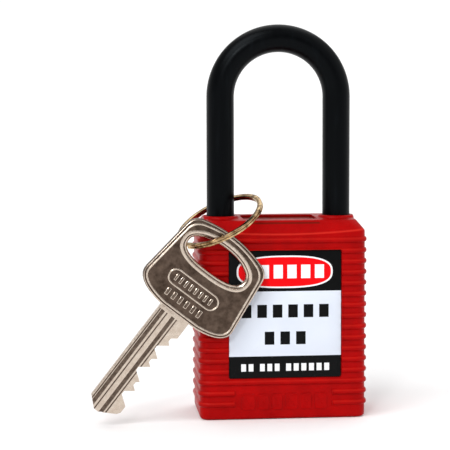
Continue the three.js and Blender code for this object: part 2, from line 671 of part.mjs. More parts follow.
// Bow outline: a rounded trapezoid, wider by the blade, with a bulging far end and the ring's slot.
function bowShape() {
  const shape = new THREE.Shape();
  const foot = 3.6;
  const head = BOW_LENGTH - BOW_CROWN;
  const headRight = BOW_HEAD_HALF + BOW_CUT_SIDE;
  const footRight = BOW_FOOT_HALF + BOW_CUT_SIDE;
  shape.moveTo(-BLADE_HEIGHT / 2, 0);
  shape.quadraticCurveTo(-BOW_FOOT_HALF - 0.6, 1, -BOW_FOOT_HALF, foot + 1.5);
  shape.lineTo(-BOW_HEAD_HALF - 0.3, head - 2);
  shape.quadraticCurveTo(-BOW_HEAD_HALF, head, -BOW_HEAD_HALF + 2, head + 0.8);
  shape.quadraticCurveTo(BOW_CUT_SIDE / 2, BOW_LENGTH + 0.8, headRight - 2, head + 0.4);
  shape.quadraticCurveTo(headRight, head - 0.4, headRight + 0.3, head - 2.4);
  shape.lineTo(footRight, foot + 1.2);
  shape.quadraticCurveTo(footRight + 0.6, 0.8, BLADE_HEIGHT / 2 + 2, 0);
  shape.lineTo(BLADE_HEIGHT / 2, 0);
  return shape;
}

function slotShape() {
  const shape = new THREE.Shape();
  shape.absellipse(0.2, SLOT_FROM_SHOULDER, SLOT_HALF_LENGTH, SLOT_HALF_HEIGHT, 0, 2 * Math.PI);
  return shape;
}

function makeKey() {
  const slab = (shape, thick, curveSegments) => {
    const geometry = new THREE.ExtrudeGeometry(shape, { depth: thick, curveSegments, bevelEnabled: false });
    geometry.translate(0, 0, -thick / 2);
    return solid(geometry);
  };
  const grooves = grooveCentres().map((centre, i) => {
    const side = i % 2 ? -1 : 1;
    const face = (side * BLADE_THICK) / 2;
    const floor = face - side * GROOVE_DEPTH;
    const beyond = face + side;
    const half = GROOVE_WIDTH / 2;
    const low = Math.min(floor, beyond);
    return box(centre - half, centre + half, -BLADE_LENGTH - 1, -0.8, low, low + GROOVE_DEPTH + 1);
  });
  const blade = cut(slab(bladeShape(), BLADE_THICK, 4), grooves);
  const bow = slab(bowShape(), BOW_THICK, 8).subtract(slab(slotShape(), 2 * BOW_THICK, 24));
  const key = blade.add(bow);
  const geometry = geometryOf(key);
  geometry.rotateX(Math.PI / 2); // the outline stands up, and the face of the key looks along -Y
  return geometry;
}

// ---- Split ring ----

function makeRing() {
  const inner = RING_RADIUS - RING_WIDE / 2;
  const outer = RING_RADIUS + RING_WIDE / 2;
  const half = RING_THICK / 2;
  const soft = 0.3;
  const corners = [
    [inner, -half + soft],
    [inner + soft, -half],
    [outer - soft, -half],
    [outer, -half + soft],
    [outer, half - soft],
    [outer - soft, half],
    [inner + soft, half],
    [inner, half - soft],
    [inner, -half + soft],
  ];
  const geometry = new THREE.LatheGeometry(
    corners.map(([r, z]) => new THREE.Vector2(r, z)),
    40,
  );
  geometry.rotateX(Math.PI / 2);
  return geometry;
}

const leaning = new THREE.Group();
leaning.position.set(-LEG_X - RING_LEFT, -RING_FRONT, BODY_HEIGHT - RING_BELOW_TOP);
leaning.rotation.order = "ZYX";
leaning.rotation.z = RING_LEAN_TOWARDS * DEG;
leaning.rotation.y = RING_LEAN * DEG;
padlock.add(leaning);
place(leaning, "key_ring", makeRing(), brassPlate);

// ---- Where the key hangs ----

// The point on the low side of the wire that lies in the plane y.
function wireAt(y) {
  const low = RING_LEAN_TOWARDS * DEG;
  const lean = RING_LEAN * DEG;
  const alongY = Math.sin(low) * Math.cos(lean);
  const acrossY = Math.cos(low);
  const reach = RING_RADIUS * Math.hypot(alongY, acrossY);
  const turn = Math.atan2(acrossY, alongY) + Math.acos((y + RING_FRONT) / reach);
  const wire = new THREE.Vector3(Math.cos(turn), Math.sin(turn), 0).multiplyScalar(RING_RADIUS);
  return wire.applyEuler(leaning.rotation).add(leaning.position);
}

const keyY = -(HALF_DEPTH + RIB_PROUD + KEY_STAND_OFF + BOW_THICK / 2);
const hangPoint = wireAt(keyY);
const keyTurn = KEY_TURN * DEG;
const [hangAcross, hangAlong] = HANG_POINT;
const hanging = new THREE.Group();
hanging.position.set(
  hangPoint.x - hangAcross * Math.cos(keyTurn) - hangAlong * Math.sin(keyTurn),
  keyY,
  hangPoint.z + hangAcross * Math.sin(keyTurn) - hangAlong * Math.cos(keyTurn),
);
hanging.rotation.y = keyTurn;
padlock.add(hanging);
place(hanging, "key", makeKey(), nickel);

export default padlock;
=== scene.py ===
# %% [markdown]
# # A safety padlock
# The lock is a ribbed nylon block with a nylon shackle. A nickel plated key hangs from the shackle on a
# split ring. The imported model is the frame: its nodes say where every piece is, so nothing here is
# fitted by eye. The frame is in metres. Each piece is drawn a thousand times too big, one unit to the
# millimetre, because cuts are surest on numbers near one, and is brought to real size by `MM` when it
# is finished.

# %% Load the frame
import math

import bmesh
import bpy
from mathutils import Matrix, Vector


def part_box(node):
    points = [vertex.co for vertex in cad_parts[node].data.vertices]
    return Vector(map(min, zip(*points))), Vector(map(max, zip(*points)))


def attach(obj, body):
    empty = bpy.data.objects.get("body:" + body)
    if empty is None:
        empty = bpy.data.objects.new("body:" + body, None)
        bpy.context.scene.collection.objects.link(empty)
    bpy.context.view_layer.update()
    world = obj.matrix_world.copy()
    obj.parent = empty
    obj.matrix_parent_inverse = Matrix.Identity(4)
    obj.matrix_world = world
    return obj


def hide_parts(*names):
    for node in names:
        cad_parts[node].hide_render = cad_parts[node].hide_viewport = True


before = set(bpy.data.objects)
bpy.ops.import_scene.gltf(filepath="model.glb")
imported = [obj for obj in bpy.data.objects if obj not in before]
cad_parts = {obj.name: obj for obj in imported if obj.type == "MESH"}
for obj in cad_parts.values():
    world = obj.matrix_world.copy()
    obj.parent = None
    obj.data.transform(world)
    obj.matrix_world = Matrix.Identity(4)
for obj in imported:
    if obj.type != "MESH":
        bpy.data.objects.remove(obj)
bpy.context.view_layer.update()  # frame["bodies"], ["nodes"], ["joints"], ["record"]
MM = 0.001

# %% [markdown]
# Operators act on whatever is selected, and loading leaves every node selected. These helpers clear the
# selection, add a primitive at its size and place, pick faces or edges by rule, and round the corners
# of a block. `edit` and `pick` work in edit mode, which is how the same moves are made by hand.

# %% Helpers for picking and starting pieces
def clear():
    if bpy.context.object and bpy.context.object.mode == "EDIT":
        bpy.ops.object.mode_set(mode="OBJECT")
    bpy.ops.object.select_all(action="DESELECT")


def bake_place(name):
    """Names the new object and moves its place and scale into its mesh."""
    piece = bpy.context.object
    piece.name = name
    bpy.ops.object.transform_apply(location=True, rotation=True, scale=True)
    return piece


def block(name, x0, x1, y0, y1, z0, z1):
    clear()
    middle = Vector((x0 + x1, y0 + y1, z0 + z1)) / 2
    size = (Vector((x1 - x0, y1 - y0, z1 - z0))).to_tuple()
    bpy.ops.mesh.primitive_cube_add(size=1, location=middle, scale=size)
    return bake_place(name)


def bar(name, x, y, z0, z1, radius, top=None, sides=64, along="Z"):
    """A round bar or cone along an axis: (x, y) is its place across that axis."""
    clear()
    turn = {"Z": (0, 0, 0), "X": (0, math.pi / 2, 0), "Y": (-math.pi / 2, 0, 0)}[along]
    mid = (z0 + z1) / 2
    place = {"Z": (x, y, mid), "X": (mid, x, y), "Y": (x, mid, y)}[along]
    bpy.ops.mesh.primitive_cone_add(
        vertices=sides,
        radius1=radius,
        radius2=(radius if top is None else top),
        depth=(z1 - z0),
        location=Vector(place),
        rotation=turn,
    )
    return bake_place(name)


def edit(piece):
    clear()
    bpy.context.view_layer.objects.active = piece
    piece.select_set(True)
    bpy.ops.object.mode_set(mode="EDIT")


def pick(kind, rule):
    """Selects the vertices, edges or faces whose middle, in millimetres, passes the rule."""
    bpy.ops.mesh.select_mode(type=kind)
    bpy.ops.mesh.select_all(action="DESELECT")
    mesh = bmesh.from_edit_mesh(bpy.context.object.data)
    items = {"VERT": mesh.verts, "EDGE": mesh.edges, "FACE": mesh.faces}[kind]
    found = 0
    for item in items:
        corners = [item] if kind == "VERT" else item.verts
        middle = sum((v.co for v in corners), Vector()) / len(corners)
        if rule(middle, item):
            item.select_set(True)
            found += 1
    mesh.select_flush_mode()
    bmesh.update_edit_mesh(bpy.context.object.data)
    return found


def direction(edge):
    return (edge.verts[1].co - edge.verts[0].co).normalized()


def round_corners(piece, axis, offset, segments):
    """Bevels the edges that run along "x", "y" or "z", and stays in edit mode."""
    edit(piece)
    pick("EDGE", lambda at, e: abs(getattr(direction(e), axis)) > 0.9)
    bpy.ops.mesh.bevel(offset=offset, segments=segments, affect="EDGES")


# %% [markdown]
# A cut is a Boolean modifier with a second solid as the tool, applied at once and the tool thrown away.
# The exact solver is slower than the fast one, but it keeps closed solids closed.

# %% Helpers for modifiers
def apply(piece, kind, **settings):
    clear()
    bpy.context.view_layer.objects.active = piece
    piece.select_set(True)
    modifier = piece.modifiers.new(kind.title(), kind)
    for key, value in settings.items():
        setattr(modifier, key, value)
    bpy.ops.object.modifier_apply(modifier=modifier.name)


def carve(piece, tool, operation="DIFFERENCE"):
    apply(piece, "BOOLEAN", object=tool, operation=operation, solver="EXACT")
    bpy.data.objects.remove(tool)


def grow(piece, tool):
    carve(piece, tool, "UNION")


def tidy(piece, angle=32):
    """Merges doubles left by the cuts, shades gentle angles smooth, and brings the piece to real size."""
    edit(piece)
    bpy.ops.mesh.select_all(action="SELECT")
    bpy.ops.mesh.remove_doubles(threshold=0.004)
    bpy.ops.mesh.dissolve_degenerate(threshold=0.002)
    bpy.ops.object.mode_set(mode="OBJECT")
    piece.data.transform(Matrix.Scale(MM, 4))
    bpy.ops.object.shade_smooth_by_angle(angle=math.radians(angle))
    print(piece.name, len(piece.data.vertices), "vertices")
    return piece


def hand_over(piece, material, body, slot, *nodes):
    if material:
        piece.data.materials.clear()
        piece.data.materials.append(material)
    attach(piece, body)
    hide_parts(*nodes)


def middle_and_half(node):
    low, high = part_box(node)
    return (low + high) / 2 / MM, (high - low) / 2 / MM


# %% [markdown]
# Shader sums are easier to read as sums. `Wire` holds one output socket, and `a * 2 + b` on wires adds
# Math nodes. `Finish` is one material. Its `node` method adds any other node: settings first, then what
# goes into its sockets.

# %% Wires and finishes
class Wire:
    def __init__(self, finish, socket):
        self.finish = finish
        self.socket = socket

    def sum(self, operation, *others):
        settings = {"operation": operation}
        return self.finish.node("ShaderNodeMath", settings, dict(enumerate((self, *others))))

    def __add__(self, other):
        return self.sum("ADD", other)

    def __sub__(self, other):
        return self.sum("SUBTRACT", other)

    def __mul__(self, other):
        return self.sum("MULTIPLY", other)

    def __truediv__(self, other):
        return self.sum("DIVIDE", other)

    def __pow__(self, other):
        return self.sum("POWER", other)

    def __lt__(self, other):
        return self.sum("LESS_THAN", other)

    def __gt__(self, other):
        return self.sum("GREATER_THAN", other)

    def __abs__(self):
        return self.sum("ABSOLUTE")

    def between(self, low, high):
        return (self > low) * (self < high)

    def ramp(self, low, high, out_low=0.0, out_high=1.0):
        """Maps low..high to out_low..out_high, held at the ends."""
        sockets = {0: self, 1: low, 2: high, 3: out_low, 4: out_high}
        return self.finish.node("ShaderNodeMapRange", {"clamp": True}, sockets)


class Finish:
    def __init__(self, name, **constants):
        self.material = bpy.data.materials.new(name)
        self.material.use_nodes = True
        self.tree = self.material.node_tree
        self.shader = self.tree.nodes["Principled BSDF"]
        for key, value in constants.items():
            socket = key.replace("_", " ").title()
            self.shader.inputs[socket.replace("Ior", "IOR")].default_value = value
        self.place = self.node("ShaderNodeTexCoord", {}, {}, "Object")

    def node(self, kind, settings, sockets, out=0):
        made = self.tree.nodes.new(kind)
        for key, value in settings.items():
            setattr(made, key, value)
        for key, value in sockets.items():
            if isinstance(value, Wire):
                self.tree.links.new(value.socket, made.inputs[key])
            else:
                made.inputs[key].default_value = value
        return Wire(self, made.outputs[out])

    def noise(self, size, detail=3.0, roughness=0.55, stretch=None):
        """Noise whose grains are about `size` millimetres across."""
        where = self.place
        if stretch:
            where = self.node("ShaderNodeMapping", {}, {"Vector": where, "Scale": stretch})
        sockets = {"Vector": where, "Scale": 1000 / size, "Detail": detail, "Roughness": roughness}
        return self.node("ShaderNodeTexNoise", {}, sockets)

    def blend(self, factor, first, second):
        sockets = {0: factor, 6: first, 7: second}
        return self.node("ShaderNodeMix", {"data_type": "RGBA"}, sockets, 2)

    def axes(self):
        """Object coordinates in millimetres, as three wires."""
        split = self.node("ShaderNodeSeparateXYZ", {}, {0: self.place})
        return [Wire(self, out) * (1 / MM) for out in split.socket.node.outputs]

    def bump(self, height, distance, strength=1.0):
        sockets = {"Height": height, "Distance": distance * MM, "Strength": strength}
        self.feed("Normal", self.node("ShaderNodeBump", {}, sockets))

    def feed(self, name, wire):
        self.tree.links.new(wire.socket, self.shader.inputs[name])


def colour(text):
    """A paint chip's hex number as linear light, with full alpha."""
    parts = [int(text[i : i + 2], 16) / 255 for i in (0, 2, 4)]
    return (*[c / 12.92 if c <= 0.04045 else ((c + 0.055) / 1.055) ** 2.4 for c in parts], 1.0)


# %% [markdown]
# ## Shared sizes
# The red finish and the body's steps both need these heights and reaches, in millimetres from the foot
# and the middle. The pad is a plain field low on the front, and the sunk panel lies in the top between
# the legs.

# %% Shared sizes
BODY_TOP = 45.5
SHOULDER_DOWN = 2.4
SHOULDER_Z = BODY_TOP - SHOULDER_DOWN
ARCH_DIP = 0.75
ARCH_HALF = 16.65
RIB_COUNT = 16
RIB_PITCH = 2.5
RIB_FIRST = 3.55
RIB_ROOT = 0.65
PAD_HALF = 11.25
SUNK_LEFT, SUNK_RIGHT = -8.6, 8.4
SUNK_Z = BODY_TOP - 0.6
print("shoulder at", SHOULDER_Z, "ribs up to", RIB_FIRST + (RIB_COUNT - 1) * RIB_PITCH)

# %% [markdown]
# ## Moulded nylon
# The body is glass filled nylon: saturated red, satin, with the fine orange peel of a mould and
# slightly cloudy colour. Cloudiness is a slow noise between two near reds. The skin is a fine noise in
# the bump, and it varies the roughness. A painted highlight lightens the ribs' upper edges and the
# shoulder's ridge, and painted shade darkens the wall under each rib. Those bands follow the height,
# which a Ping-Pong node folds into the distance from the nearest rib. The sunk panel is darker too, a
# painted reflection of the black shackle above it.

# %% Red nylon
RIBS_LOW, ABOVE_PAD, RIBS_HIGH = 3.0, 7.6, 41.8
red = Finish("red_satin_nylon", specular_ior_level=0.06)
x, _, z = red.axes()
cloud = red.noise(5, 4)
grain = red.noise(0.33, 2)
peel = red.noise(0.9, 3)
tone = red.blend(cloud.ramp(0.35, 0.7), colour("980102"), colour("ac0203"))
speck = grain.ramp(0.62, 0.78) * 0.3
tone = red.blend(speck, tone, colour("c81410"))
# Painted highlight: the upper edge of each rib is lightened, where light from above catches it.
rib_highlight = (z - (RIB_FIRST + 0.3)).sum("PINGPONG", RIB_PITCH / 2).ramp(0.08, 0.3, 1, 0)
# Painted shade: the wall just under each rib is darkened.
rib_shade = (z - (RIB_FIRST - RIB_ROOT)).sum("PINGPONG", RIB_PITCH / 2).ramp(0.1, 0.35, 1, 0)
beside_pad = z.between(RIBS_LOW, ABOVE_PAD) * (abs(x) > PAD_HALF + 0.05)
ribbed = z.between(ABOVE_PAD, RIBS_HIGH) + beside_pad
ridge = z - ((x / ARCH_HALF) ** 2 * ARCH_DIP + (SHOULDER_Z - ARCH_DIP + 0.1))
# Painted highlight on the rib tops and along the shoulder's ridge, blended towards a pale red.
painted_highlight = rib_highlight * ribbed * 0.16 + abs(ridge).ramp(0.05, 0.3, 1, 0) * 0.5
tone = red.blend(painted_highlight, tone, colour("dc3628"))
# Painted shade under the ribs, blended towards a deep red.
tone = red.blend(rib_shade * ribbed * 0.18, tone, colour("5c0102"))
# Painted reflection: the sunk panel between the legs is darkened to a brown red, as if it mirrored the
# black shackle above.
sunk = z.between(SUNK_Z - 0.2, SUNK_Z + 0.2) * x.between(SUNK_LEFT - 0.1, SUNK_RIGHT + 0.1)
red.feed("Base Color", red.blend(sunk * 0.75, tone, colour("5e1206")))
red.feed("Roughness", peel.ramp(0.3, 0.7, 0.28, 0.42))
red.bump(grain * 0.6 + peel * 0.4, 0.05, 0.5)
print("red nylon", len(red.tree.nodes), "nodes")

# %% [markdown]
# The shackle is the same nylon in black, drawn a little smoother, with scuffs that lighten it along its
# length.

# %% Black nylon and black plastic
black = Finish("black_satin_nylon", specular_ior_level=0.08, specular_tint=(0.82, 0.93, 1, 1))
scuff = black.noise(1.3, 4, stretch=(1, 1, 0.12))
grain = black.noise(0.25, 2)
black.feed("Base Color", black.blend(scuff.ramp(0.55, 0.8), colour("010102"), colour("06080b")))
black.feed("Roughness", scuff.ramp(0.3, 0.75, 0.27, 0.37))
black.bump(grain * 0.7 + scuff * 0.3, 0.03, 0.45)

plastic = Finish("black_moulded_plastic", specular_ior_level=0.3)
grain = plastic.noise(0.4, 3)
plastic.feed("Base Color", plastic.blend(grain, colour("151517"), colour("232326")))
plastic.feed("Roughness", grain.ramp(0.3, 0.7, 0.5, 0.68))
plastic.bump(grain, 0.04, 0.5)

# %% [markdown]
# ## Metals
# A plated or drawn metal is one colour with Metallic at 1. What makes it read as metal is uneven
# roughness: fine scratches one way, and soft blotches where hands and tools have dulled it.

# %% Metals
def metal(name, dark, light, rough, blotch=3.0, scratch=(1, 1, 0.06), dent=0.02):
    made = Finish(name, metallic=1.0)
    patch = made.noise(blotch, 5, 0.6)
    lines = made.noise(0.22, 2, stretch=scratch)
    made.feed("Base Color", made.blend(patch.ramp(0.32, 0.68), colour(dark), colour(light)))
    made.feed("Roughness", (patch * 0.6 + lines * 0.4).ramp(0.3, 0.7, *rough))
    made.bump(lines * 0.6 + patch * 0.4, dent, 0.6)
    return made


ALONG_KEY = (0.3, 1, 0.5)
nickel = metal("nickel_dull", "3f332b", "67574c", (0.24, 0.4), blotch=1.6, scratch=ALONG_KEY, dent=0.03)
# Pale nickel for faces that show wear and carry a painted highlight.
worn_highlight = metal("nickel_worn_highlight", "c2b1a2", "d8cabb", (0.18, 0.32), blotch=1.1, scratch=ALONG_KEY)
# Dark nickel for painted shade.
shaded_nickel = metal("nickel_painted_shade", "4c3f36", "7c6c60", (0.3, 0.46), blotch=0.8)
brass = metal("brass_drawn", "8c6a2e", "c9a45a", (0.24, 0.4))
# The plate's blotches are uneven plating; their deep brown and pale beige ends also stand in for painted
# shade and painted highlight.
plate = metal("brass_plated", "5c3d1e", "e6c796", (0.12, 0.26), blotch=1.4, dent=0.008)
steel = metal("steel_drawn", "77797c", "a9abae", (0.26, 0.42))
wire = metal("steel_sprung", "5e6166", "90949a", (0.2, 0.36), blotch=1.0)
print("metals", [m.material.name for m in (nickel, worn_highlight, shaded_nickel, brass, plate, steel, wire)])

# %% [markdown]
# ## The ribbed body
# On the real lock this is one moulding: a block with rounded upright corners, a sloping shoulder round
# the top, and sixteen small ribs for the fingers that run right round it. Each rib could be a solid of
# its own, but rings cut into the wall and pushed outwards give one clean skin. A box is added at its
# size, its upright corners are bevelled, and its top face is extruded and drawn in.

# %% Body block
_, body_half = middle_and_half("lock_body")
RIB_PROUD = 0.4
HALF_WIDTH = body_half.x - RIB_PROUD
HALF_DEPTH = body_half.y - RIB_PROUD
SHOULDER_IN = 2.0
CORNER = 2.4
FOOT = 0.8
EASE = 0.26

lock = block("ribbed_body", -HALF_WIDTH, HALF_WIDTH, -HALF_DEPTH, HALF_DEPTH, 0, SHOULDER_Z)
round_corners(lock, "z", CORNER, 6)
pick("FACE", lambda at, f: at.z > SHOULDER_Z - 0.01)
bpy.ops.mesh.extrude_region_move(TRANSFORM_OT_translate={"value": (0, 0, SHOULDER_DOWN)})
bpy.ops.transform.resize(
    value=(1 - SHOULDER_IN / HALF_WIDTH, 1 - SHOULDER_IN / HALF_DEPTH, 1),
    center_override=(0, 0, BODY_TOP),
)
bpy.ops.mesh.region_to_loop()
bpy.ops.mesh.bevel(offset=EASE, segments=2, affect="EDGES")
pick("EDGE", lambda at, e: at.z < 0.01)
bpy.ops.mesh.bevel(offset=FOOT, segments=3, affect="EDGES")
print("block", 2 * HALF_WIDTH, "x", 2 * HALF_DEPTH, "x", BODY_TOP)

# %% [markdown]
# The ribs are six level cuts each. The four inner rings are pushed out a little, then the two crest
# rings a little more, so that every ring moves while the wall beside it is still upright and its
# normals point straight out.

# %% Ribs
RIB_CREST, RIB_FLANK = 0.18, 0.44
FLANK_PROUD = 0.27
RIB_RINGS = (-RIB_ROOT, -RIB_FLANK, -RIB_CREST, RIB_CREST, RIB_FLANK, RIB_ROOT)
rib_levels = [RIB_FIRST + i * RIB_PITCH for i in range(RIB_COUNT)]
bpy.ops.mesh.select_mode(type="VERT")
for level in rib_levels:
    for ring in RIB_RINGS:
        bpy.ops.mesh.select_all(action="SELECT")
        bpy.ops.mesh.bisect(plane_co=(0, 0, (level + ring)), plane_no=(0, 0, 1))


def on_ring(at, reach):
    return any(abs(abs(at.z - level) - r) < 0.01 for level in rib_levels for r in reach)


pick("VERT", lambda at, v: on_ring(at, (RIB_CREST, RIB_FLANK)))
bpy.ops.transform.shrink_fatten(value=FLANK_PROUD)
crests = pick("VERT", lambda at, v: on_ring(at, (RIB_CREST,)))
bpy.ops.transform.shrink_fatten(value=RIB_PROUD - FLANK_PROUD)
print("ribs", RIB_COUNT, "crest vertices", crests)

# %% [markdown]
# The shoulder's lower edge isn't straight: it dips in the middle of the front and the rear. Upright
# cuts give that edge points to bend at, each is lowered on a parabola, and a small bevel softens the
# ridge.

# %% Arched shoulder
ARCH_CUTS = 7
ARCH_STEP = 2.15
ARCH_END = 16.5
for i in range(-ARCH_CUTS, ARCH_CUTS + 1):
    bpy.ops.mesh.select_all(action="SELECT")
    bpy.ops.mesh.bisect(plane_co=(i * ARCH_STEP, 0, 0), plane_no=(1, 0, 0))
mesh = bmesh.from_edit_mesh(lock.data)
for vertex in mesh.verts:
    across = vertex.co.x
    if abs(vertex.co.z - SHOULDER_Z) < 0.01 and abs(across) < ARCH_END:
        vertex.co.z -= ARCH_DIP * (1 - (across / ARCH_HALF) ** 2)
bmesh.update_edit_mesh(lock.data)

SHOULDER_FACES = SHOULDER_Z - ARCH_DIP - EASE
pick("FACE", lambda at, f: at.z > SHOULDER_FACES and f.normal.z > 0.1)
bpy.ops.mesh.region_to_loop()
bpy.ops.mesh.bevel(offset=EASE, segments=2, affect="EDGES")
bpy.ops.object.mode_set(mode="OBJECT")
print("shoulder softened", len(lock.data.polygons), "faces")

# %% [markdown]
# Low cones stand round the two legs, and the top between them is sunk a little.
# Cones are added and rounded, cut off where they would stand out over the shoulder, and joined on.

# %% Collars and the sunk panel
shackle_middle, shackle_half = middle_and_half("shackle")
BAR_RADIUS = shackle_half.y
LEG_X = shackle_half.x - BAR_RADIUS
ROOM = 0.15
BORE = BAR_RADIUS + ROOM
COLLAR_LOW, COLLAR_HIGH = BODY_TOP - 1.2, BODY_TOP + 0.5
COLLAR_FOOT, COLLAR_HEAD = 5.1, 3.975
COLLAR_END = 17.4
for side in (-1, 1):
    collar = bar("collar", side * LEG_X, 0, COLLAR_LOW, COLLAR_HIGH, COLLAR_FOOT, COLLAR_HEAD)
    edit(collar)
    pick("EDGE", lambda at, e: at.z > COLLAR_HIGH - 0.01)
    bpy.ops.mesh.bevel(offset=0.2, segments=3, affect="EDGES")
    bpy.ops.mesh.select_all(action="SELECT")
    bpy.ops.mesh.bisect(
        plane_co=(side * COLLAR_END, 0, 0),
        plane_no=(side, 0, 0),
        clear_outer=True,
        use_fill=True,
    )
    grow(lock, collar)
SUNK_HALF = 5.6
sunk_panel = block("sunk_panel", SUNK_LEFT, SUNK_RIGHT, -SUNK_HALF, SUNK_HALF, SUNK_Z, BODY_TOP + 2)
round_corners(sunk_panel, "z", 1.4, 5)
carve(lock, sunk_panel)
print("leg axes at", LEG_X, "bar radius", BAR_RADIUS)

# %% [markdown]
# Inside, the moulding is cored out for the legs, the cylinder, the bolt and its guide, and the cover in
# the base. Sizes come from the nodes that lie in each space, with a little room round them.

# %% Hollows
_, cover_half = middle_and_half("bottom_cover")
plug_middle, plug_half = middle_and_half("plug")
housing_middle, housing_half = middle_and_half("cylinder_housing")
guide_middle, guide_half = middle_and_half("bolt_guide")
bolt_middle, bolt_half = middle_and_half("locking_bolt")
PLUG_X = plug_middle.x
HOUSING_END = housing_middle.z + housing_half.z
HOUSING_RADIUS = housing_half.y + ROOM
INSIDE_SEAT = 1
TOE_END = 34.0
PIN_ROOM_HALF = 3.75
NOSE_HALF = 2.35
SPRING_TOP = 32.7
SPRING_RADIUS = BAR_RADIUS + 1.05
cover_top = 2 * cover_half.z
guide_low = guide_middle.z - guide_half.z
guide_left = guide_middle.x - guide_half.x
seat = block(
    "seat",
    -cover_half.x - ROOM,
    cover_half.x + ROOM,
    -cover_half.y - ROOM,
    cover_half.y + ROOM,
    -1,
    cover_top + 0.1,
)
round_corners(seat, "z", CORNER, 6)
carve(lock, seat)
carve(lock, bar("cylinder_room", PLUG_X, 0, INSIDE_SEAT, HOUSING_END + ROOM, HOUSING_RADIUS))
carve(
    lock,
    block(
        "pin_room",
        PLUG_X,
        housing_middle.x + housing_half.x + ROOM,
        -PIN_ROOM_HALF,
        PIN_ROOM_HALF,
        INSIDE_SEAT,
        HOUSING_END + ROOM,
    ),
)
carve(lock, bar("cam_room", PLUG_X, 0, HOUSING_END, guide_low + 0.5, HOUSING_RADIUS - 0.4))
carve(
    lock,
    block(
        "guide_room",
        guide_left - ROOM,
        guide_middle.x + guide_half.x + ROOM,
        -guide_half.y - ROOM,
        guide_half.y + ROOM,
        HOUSING_END,
        guide_middle.z + guide_half.z + ROOM,
    ),
)
bolt_low = bolt_middle.z - bolt_half.z - ROOM
bolt_high = bolt_middle.z + bolt_half.z + ROOM
carve(lock, block("nose_way", -LEG_X, guide_left, -NOSE_HALF, NOSE_HALF, bolt_low, bolt_high))
carve(lock, bar("toe_socket", -LEG_X, 0, TOE_END - 0.3, BODY_TOP + 5, BORE))
carve(lock, bar("heel_socket", LEG_X, 0, INSIDE_SEAT, BODY_TOP + 5, BORE))
carve(lock, bar("heel_room", LEG_X, 0, INSIDE_SEAT, SPRING_TOP, SPRING_RADIUS))
print("hollows cut:", len(lock.data.polygons), "faces")

# %% [markdown]
# Each label lies in a shallow recess with rounded corners, and the ribs stop at its edge.
# Under the front label the ribs stop again for a plain pad. The maker's raised mark there is left out,
# and a row of low blank blocks stands in its place.

# %% Recesses and the blank pad
RECESS_DEEP = 0.4
PAST_WALL = 2
PAD_TALL = 6.6
PAD_MARKS = (3.0, 2.4, 2.4, 2.8, 2.4, 2.8)
PAD_MARK_GAP = 0.75
PAD_MARK_LOW, PAD_MARK_HIGH = 2.3, 5.9
PAD_MARK_PROUD = 0.16
PAD_MARK_SINK = 0.12
ROLL_PIN_X, ROLL_PIN_Z, ROLL_PIN_END = 3.6, 26.6, -6.6


def recess(side):
    low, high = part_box("front_label" if side < 0 else "rear_label")
    low, high = low / MM, high / MM
    inner = side * (HALF_DEPTH - RECESS_DEEP)
    outer = side * (HALF_DEPTH + PAST_WALL)
    tool = block(
        "recess",
        low.x - ROOM,
        high.x + ROOM,
        min(inner, outer),
        max(inner, outer),
        low.z - ROOM,
        high.z + ROOM,
    )
    round_corners(tool, "y", 0.5, 4)
    carve(lock, tool)


recess(-1)
recess(1)
pad_face = -HALF_DEPTH
carve(lock, block("pad", -PAD_HALF, PAD_HALF, pad_face - PAST_WALL, pad_face, FOOT, FOOT + PAD_TALL))
mark_x = -9.6
for width in PAD_MARKS:
    mark = block(
        "mark",
        mark_x,
        mark_x + width,
        pad_face - PAD_MARK_PROUD,
        pad_face + 0.3,
        PAD_MARK_LOW,
        PAD_MARK_HIGH,
    )
    round_corners(mark, "y", 0.5, 3)
    pick("FACE", lambda at, f: at.y < pad_face - 0.1)
    bpy.ops.mesh.inset(thickness=0.5)
    bpy.ops.transform.translate(value=(0, PAD_MARK_SINK, 0))
    grow(lock, mark)
    mark_x += width + PAD_MARK_GAP
pin_hole = bar("pin_hole", ROLL_PIN_X, ROLL_PIN_Z, ROLL_PIN_END, HALF_DEPTH, 1.05, sides=24, along="Y")
carve(lock, pin_hole)
tidy(lock)
hand_over(lock, red.material, "case", "red_nylon", "lock_body")

# %% [markdown]
# ## The labels
# Each face carries a printed vinyl label: a black head with a red oval, a white field, and a black
# foot. The words are left out. Plain blocks of the same height and spacing stand for them. The sheet is
# real geometry; the print is worked out from Object coordinates, so it needs no image file.

# %% Printed vinyl
HEAD_FROM, FOOT_FROM = 5.3, -9.6
OVAL_X, OVAL_Z = -0.1, 9.75
OVAL_HALVES, RIM_HALVES = (10.6, 3.38), (11.0, 3.72)
OVAL_SQUARENESS = 2.7
HEAD_ROW, FIRST_ROW, SECOND_ROW, FOOT_ROW = (9.8, 3.1), (0.75, 3.0), (-5.45, 3.0), (-12.2, 1.7)


